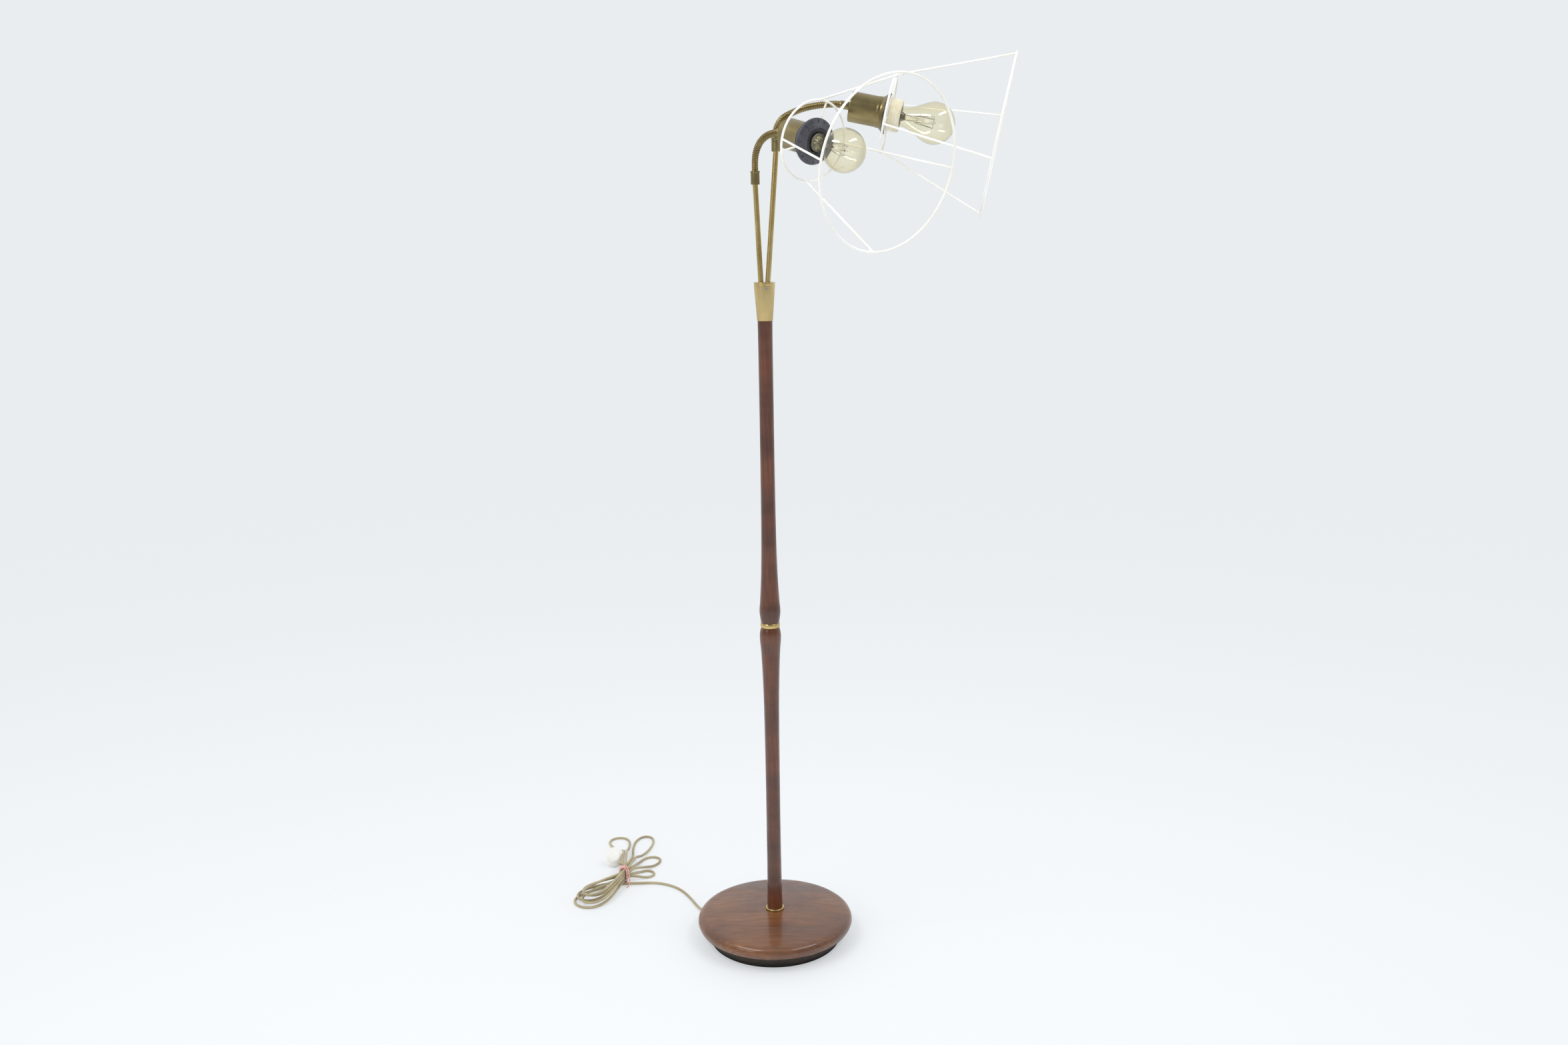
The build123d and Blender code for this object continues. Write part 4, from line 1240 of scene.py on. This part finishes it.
@dataclass
class Cord:
    """Mains cord with its tied hank, twine and plug.

    In the tie the strands lie in two columns, one level for each turn. A turn goes down the left
    column, round a lower loop, up the right column and round an upper loop.
    """

    radius: float = 2.2
    exit: tuple[float, float, float] = (-100.46, 58.0, 7.6)
    route: tuple[tuple[float, float, float], ...] = (
        (-114.3, 66.0, 7.6), (-128.5, 86.0, 3.2), (-145.0, 125.0, 2.2), (-163.0, 158.0, 2.2),
        (-187.0, 179.0, 2.2), (-214.0, 188.0, 2.4), (-240.0, 183.4, 3.6), (-256.0, 183.0, 4.0),
    )
    tail: tuple[tuple[float, float, float], ...] = (
        (-266.0, 204.0, 28.8), (-272.0, 212.0, 28.8), (-278.0, 222.0, 26.0), (-280.0, 233.0, 18.0),
        (-279.5, 244.0, 10.5), (-279.0, 255.5, 7.6),
    )
    waist: tuple[float, float] = (-268.0, 191.0)
    column: float = 2.6
    lowest: float = 4.0
    pitch: float = 4.85
    floor: float = 2.25
    upper: tuple[Loop, ...] = (
        Loop(34, 8, 30, 50, 27, 8, 44), Loop(62, 24, 60, 80, 34, 26, 72),
        Loop(78, 56, 84, 128, 36, 50, 110), Loop(94, 98, 107, 82, 38, 66, 130),
    )
    # Way, length and width of each lower loop; they lie on each other, so they may cross.
    lower: tuple[tuple[float, float, float], ...] = (
        (229.0, 104.0, 66.0), (222.0, 92.0, 54.0), (236.0, 100.0, 46.0), (227.0, 84.0, 50.0),
        (232.0, 92.0, 38.0),
    )
    climb: tuple[float, float] = (0.6, 0.9)     # part of a lower loop's round in which it rises a level
    lying_pitch: float = 4.5                    # rise from each lower loop's tip to the next one's
    drop: tuple[float, float] = (0.1, 0.6)      # where along a lower loop it starts to lie, and over how much
    upper_width: float = 0.77                   # share of a loop's width that its round is drawn with
    lower_width: float = 0.62
    twine_radius: float = 1.15
    tie_turns: int = 3
    tie_length: float = 7.5
    length: float = 2.65
    plug_face: tuple[float, float] = (-292.0, 266.0)
    plug_tilt: float = 38.0
    plug_radius: float = 17.5
    plug_thickness: float = 16.0
    pin_radius: float = 2.4
    pin_length: float = 19.0
    pin_spacing: float = 19.0

    def level(self, number: float) -> float:
        """Height of a strand in the tie."""
        return self.lowest + self.pitch * number

    def sink(self, number: float, share: float) -> float:
        """Height of a strand that has come a share of its way from its level to the floor."""
        share = clamped(share)
        return self.floor + (self.level(number) - self.floor) * (1 - share * share * (3 - 2 * share))

    def upper_loop(self, number: int, loop: Loop) -> list[tuple[float, float, float]]:
        """Points of an upper loop, from the right column round its tip to the left column.

        Args:
            number: Level of the loop in the tie.
            loop: Its form.

        Returns:
            Control points in millimetres.
        """
        neck_way, way = heading(loop.neck_way), heading(loop.way)
        neck_side, side = Vector((neck_way.y, -neck_way.x)), Vector((way.y, -way.x))
        base = Vector((self.waist[0], self.waist[1] + 8))
        span = loop.drop_end - loop.drop_start
        steps = max(1, round(loop.neck / 22))
        around = 11
        right, left, bulge = [], [], []
        for step in range(1, steps + 1):
            reach = loop.neck * step / steps
            height = self.sink(number, (reach - loop.drop_start) / span)
            middle = base + neck_way * reach
            right.append((*(middle + neck_side * self.column), height))
            left.insert(0, (*(middle - neck_side * self.column), height))
        foot = base + neck_way * loop.neck
        for step in range(1, around):
            turn = 2 * pi * step / around
            share = (1 - cos(turn)) / 2
            bulged = sin(turn) * share * loop.width * self.upper_width
            width = bulged + self.column * cos(turn / 2) * (1 - share)
            point = foot + way * share * loop.length + side * width
            height = self.sink(number, (loop.neck + share * loop.length - loop.drop_start) / span)
            bulge.append((*point, height))
        return [*right, *bulge, *left]

    def lower_loop(self, number: int) -> list[tuple[float, float, float]]:
        """Points of a lower loop, from the left column round its tip to the right column.

        Args:
            number: Number of the loop, from the lowest.

        Returns:
            Control points in millimetres.
        """
        turned_way, length, width = self.lower[number]
        way = heading(turned_way)
        side = Vector((-way.y, way.x))
        base = Vector((self.waist[0], self.waist[1] - 9))
        around = 13
        points = []
        for step in range(1, around):
            turn = 2 * pi * step / around
            share = (1 - cos(turn)) / 2
            bulged = -sin(turn) * share ** 0.8 * width * self.lower_width
            point = base + way * share * length + side * (bulged - self.column * cos(turn / 2) * (1 - share))
            risen = clamped((step / around - self.climb[0]) / (self.climb[1] - self.climb[0]))
            tied, lying = self.level(number + risen), self.floor + self.lying_pitch * (number + risen)
            low = clamped((share - self.drop[0]) / self.drop[1])
            points.append((*point, tied + (lying - tied) * low))
        return points

    def points(self) -> list[tuple[float, float, float]]:
        """Whole route of the cord, from the bush to the plug.

        Returns:
            Control points in millimetres.
        """
        x, y = self.waist
        line = [self.exit, *self.route]
        for number in range(len(self.upper) + 1):
            if number:
                height = self.level(number)
                line += [(x - self.column, y + 4, height), (x - self.column, y - 5, height)]
            line += self.lower_loop(number)
            height = self.level(number + 1)
            line += [(x + self.column, y - 5, height), (x + self.column, y + 4, height)]
            if number < len(self.upper):
                line += self.upper_loop(number + 1, self.upper[number])
        return [*line, *self.tail]

    def curve(self, name: str, points: Sequence[Sequence[float]], radius: float) -> bpy.types.Curve:
        """Smooth round line.

        Args:
            name: Name of the curve.
            points: Its control points, in millimetres.
            radius: Its radius, in millimetres.

        Returns:
            The curve, in metres.
        """
        curve = bpy.data.curves.new(name, "CURVE")
        curve.dimensions = "3D"
        curve.bevel_depth = radius * MM
        curve.bevel_resolution = 4
        curve.resolution_u = 6
        curve.use_fill_caps = True
        spline = curve.splines.new("NURBS")
        spline.points.add(len(points) - 1)
        for held, point in zip(spline.points, points):
            held.co = (*(value * MM for value in point), 1.0)
        spline.order_u = 3
        spline.use_endpoint_u = True
        return curve

    def make_cord(self, extras: Sequence[object]) -> None:
        """The cord itself.

        Args:
            extras: Pieces that lie with the cord; not used.
        """
        curve = self.curve("mains_cord", self.points(), self.radius)
        curve.materials.append(MATERIALS[Slot.CORD])
        cord = placed("mains_cord", curve)
        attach(cord, "stand")
        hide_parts("cord_run", "cord_hank")
        LOG.info("mains_cord: %d control points", len(curve.splines[0].points))

    def make_tie(self) -> bpy.types.Object:
        """Twine wound round the waist, with its two loose ends crossing on top.

        Returns:
            The tie.
        """
        x, y = self.waist
        wide, top = self.column + self.radius + 1.5, self.level(len(self.upper) + 1) + self.radius + 1.2
        corners = ((-wide, 3), (-wide, top - 4), (-wide + 3, top), (wide - 3, top), (wide, top - 4),
                   (wide, 3), (wide - 3, 1.2), (-wide + 3, 1.2))
        steps = self.tie_turns * len(corners)
        points = [(x - 11, y - 12, 1.4), (x - 9, y - 8, 3), (x - 7, y - 5, 12), (x - 3, y - 4, top + 1.5)]
        for number in range(steps + 5):
            across, height = corners[(number + 3) % len(corners)]
            points.append((x + across, y - 4 + self.tie_length * number / steps, height))
        points += [(x + 4, y + 1, top + 3), (x + 9, y - 1, top - 3), (x + 12, y - 6, 9),
                   (x + 11, y - 12, 2.4), (x + 8, y - 18, 1.4)]
        held = placed("held", self.curve("twine", points, self.twine_radius))
        mesh = bpy.data.meshes.new_from_object(held.evaluated_get(bpy.context.evaluated_depsgraph_get()))
        bpy.data.objects.remove(held)
        return piece("hank_twine", mesh, Slot.TWINE, ["cord_tie"], "stand")

    def make_plug(self) -> list[bpy.types.Object]:
        """Round plug with a stepped back, and its two pins with rounded tips.

        Returns:
            The plug and the pair of pins.
        """
        tilt = radians(self.plug_tilt)
        way, across = Vector((0, cos(tilt), -sin(tilt))), Vector((1, 0, 0))
        place = axes_at((*self.plug_face, self.plug_radius * cos(tilt)), across, way.cross(across), way)
        r, back = self.plug_radius, -self.plug_thickness
        outline = soften([(0, back), (10.5, back), (r - 0.6, -8), (r, -7), (r, 0), (0, 0)], 1.4, 5)
        body = joined("plug", [turned(outline, 72)], place)
        pins = []
        for x in (-self.pin_spacing / 2, self.pin_spacing / 2):
            tip = self.pin_length - self.pin_radius
            pins += [tube([Vector((x, 0, -0.2)), Vector((x, 0, tip))], self.pin_radius, 24),
                     bead(Vector((x, 0, tip)), self.pin_radius)]
        return [piece("plug_shell", body, Slot.WHITE, ["plug_body"], "stand"),
                piece("plug_pin_pair", joined("pins", pins, place), Slot.PINS, ["plug_pins"], "stand")]

    def make_bush(self) -> bpy.types.Object:
        """Tapered bush where the cord leaves the base.

        Returns:
            The bush.
        """
        way, across = Vector((self.exit[0], self.exit[1], 0)).normalized(), Vector((0, 0, 1))
        place = axes_at(self.exit, across, way.cross(across), way)
        bore = self.radius + 0.2
        outline = soften([(bore, -19), (4.2, -19), (4.2, -7), (3.1, 0), (bore, 0)], 0.4)
        mesh = joined("bush", [turned(outline, 32)], place)
        return piece("cord_bush_black", mesh, Slot.BLACK, ["cord_bush"], "stand")

    def make(self) -> None:
        """Builds the cord and what is on it."""
        self.make_cord([self.make_tie(), *self.make_plug(), self.make_bush()])


# ---- studio -------------------------------------------------------------------------------
@dataclass
class Studio:
    """Camera at the photograph's viewpoint, pale floor and soft light."""

    eye: tuple[float, float, float] = (0.0238, -2.173, 1.167)
    pitch: float = 12.4
    roll: float = 0.84
    lens: float = 33.34
    wall: str = "#E9EDF0"
    floor: str = "#F5F7F8"
    own_light: float = 0.5        # share of the floor's own white to the camera; the rest takes shadows
    fade: tuple[float, float] = (0.6, 4.5)      # distance over which the floor becomes the wall
    dim: float = 0.28             # the room's brightness in mirrors, on the camera's side
    dim_fade: tuple[float, float] = (-0.7, 0.5)
    sky: str = "#F3F6FA"
    sky_light: float = 0.86

    def make_camera(self) -> None:
        """Camera that looks along +Y, tipped down and rolled a little."""
        data = bpy.data.cameras.new("camera")
        data.lens = self.lens
        data.sensor_width = 36.0
        camera = placed("camera", data)
        pitch, roll = radians(self.pitch), radians(self.roll)
        up, right = Vector((0, sin(pitch), cos(pitch))), Vector((1, 0, 0))
        back = right.cross(up)
        rolled_up = up * cos(roll) + right * sin(roll)
        rolled_right = right * cos(roll) - up * sin(roll)
        camera.matrix_world = axes_at(self.eye, rolled_right, rolled_up, back)
        bpy.context.scene.camera = camera

    def make_floor(self) -> None:
        """Large pale floor that keeps the lamp's shadow."""
        mesh = bpy.data.meshes.new("floor")
        reach = 14.0
        mesh.from_pydata([(-reach, -reach, 0), (reach, -reach, 0), (reach, reach, 0), (-reach, reach, 0)], [],
                         [(0, 1, 2, 3)])
        material = bpy.data.materials.new("studio_floor")
        material.use_nodes = True
        tree = material.node_tree
        shader = tree.nodes["Principled BSDF"]
        shader.inputs["Base Color"].default_value = linear(self.floor)
        shader.inputs["Roughness"].default_value = 0.6
        place = add(tree, "ShaderNodeTexCoord").outputs["Object"]
        away = add(tree, "ShaderNodeVectorMath", {0: place}, operation="LENGTH").outputs["Value"]
        share = spread(tree, away, self.own_light, 1.0, *self.fade)
        tone = mixed(tree, share, self.floor, self.wall)
        seen = add(tree, "ShaderNodeLightPath").outputs["Is Camera Ray"]
        amount = add(tree, "ShaderNodeMath", {0: seen, 1: share}, operation="MULTIPLY").outputs[0]
        white = add(tree, "ShaderNodeEmission", {"Color": tone, "Strength": 1.0})
        both = add(tree, "ShaderNodeMixShader", {0: amount, 1: shader.outputs[0], 2: white.outputs[0]})
        tree.links.new(both.outputs[0], tree.nodes["Material Output"].inputs["Surface"])
        mesh.materials.append(material)
        floor = placed("floor", mesh)

    def make_world(self) -> None:
        """Pale room: plain to the camera, and darker on the camera's side in reflections."""
        world = bpy.data.worlds.new("world")
        bpy.context.scene.world = world
        world.use_nodes = True
        tree = world.node_tree
        tree.nodes.clear()
        way = add(tree, "ShaderNodeTexCoord").outputs["Generated"]
        parts = add(tree, "ShaderNodeSeparateXYZ", {0: way})
        toward = spread(tree, parts.outputs["Y"], self.dim, 1.0, *self.dim_fade,
                        interpolation_type="SMOOTHSTEP")
        ray = add(tree, "ShaderNodeLightPath").outputs
        plain = add(tree, "ShaderNodeBackground", {"Color": linear(self.wall), "Strength": 1.0})
        mirrored = add(tree, "ShaderNodeBackground", {"Color": linear(self.wall), "Strength": toward})
        ambient = add(tree, "ShaderNodeBackground", {"Color": linear(self.sky), "Strength": self.sky_light})
        rays = {0: ray["Is Camera Ray"], 1: ray["Is Transmission Ray"]}
        seen = add(tree, "ShaderNodeMath", rays, operation="MAXIMUM")
        unseen = {0: ray["Is Glossy Ray"], 1: ambient.outputs[0], 2: mirrored.outputs[0]}
        inner = add(tree, "ShaderNodeMixShader", unseen)
        whole = {0: seen.outputs[0], 1: inner.outputs[0], 2: plain.outputs[0]}
        add(tree, "ShaderNodeOutputWorld", {0: add(tree, "ShaderNodeMixShader", whole).outputs[0]})

    def make_lights(self) -> None:
        """Two wide overhead lights and a weaker one from the front left."""
        lights = {
            "overhead_left": ((-1.3, -0.9, 2.7), 20.0, 1.7, 0.3),
            "overhead_right": ((1.4, -0.8, 2.7), 17.0, 1.7, 0.3),
            "front_left": ((-2.2, -2.4, 1.9), 9.0, 1.2, 1.2),
        }
        for name, (place, power, width, depth) in lights.items():
            data = bpy.data.lights.new(name, "AREA")
            data.energy, data.shape, data.size, data.size_y = power, "RECTANGLE", width, depth
            light = placed(name, data)
            light.location = place
            light.rotation_euler = (Vector((0, 0, 0.5)) - Vector(place)).to_track_quat("-Z", "Y").to_euler()

    def make(self) -> None:
        """Builds the studio."""
        bpy.context.scene.view_settings.view_transform = "Standard"
        self.make_camera()
        self.make_floor()
        self.make_world()
        self.make_lights()


SIDES = (
    Side("left", -1, 2.3, 1213.6, 52.0, 12.9, (16.5, 11.5, 11.5, 11.5, 17.0, 30.0, 16.0), -2.3, Slot.BLACK),
    Side("right", 1, 4.5, 1260.0, 8.2, 12.2, (8.5, 9.0, 9.0, 9.0, 32.0, 43.4, 21.5), 17.4, Slot.CREAM),
)


def main() -> None:
    """Builds the studio and the lamp."""
    logging.basicConfig(level=logging.INFO, format="%(name)s: %(message)s")
    Studio().make()
    Cord().make()
    Stand().make()
    conduit, studs = wound_tree(), studs_tree()
    for side in SIDES:
        Arm(side, conduit).make()
        head = Head(side, studs)
        head.make()
        Bulb(head).make()


if __name__ == "__main__":
    main()
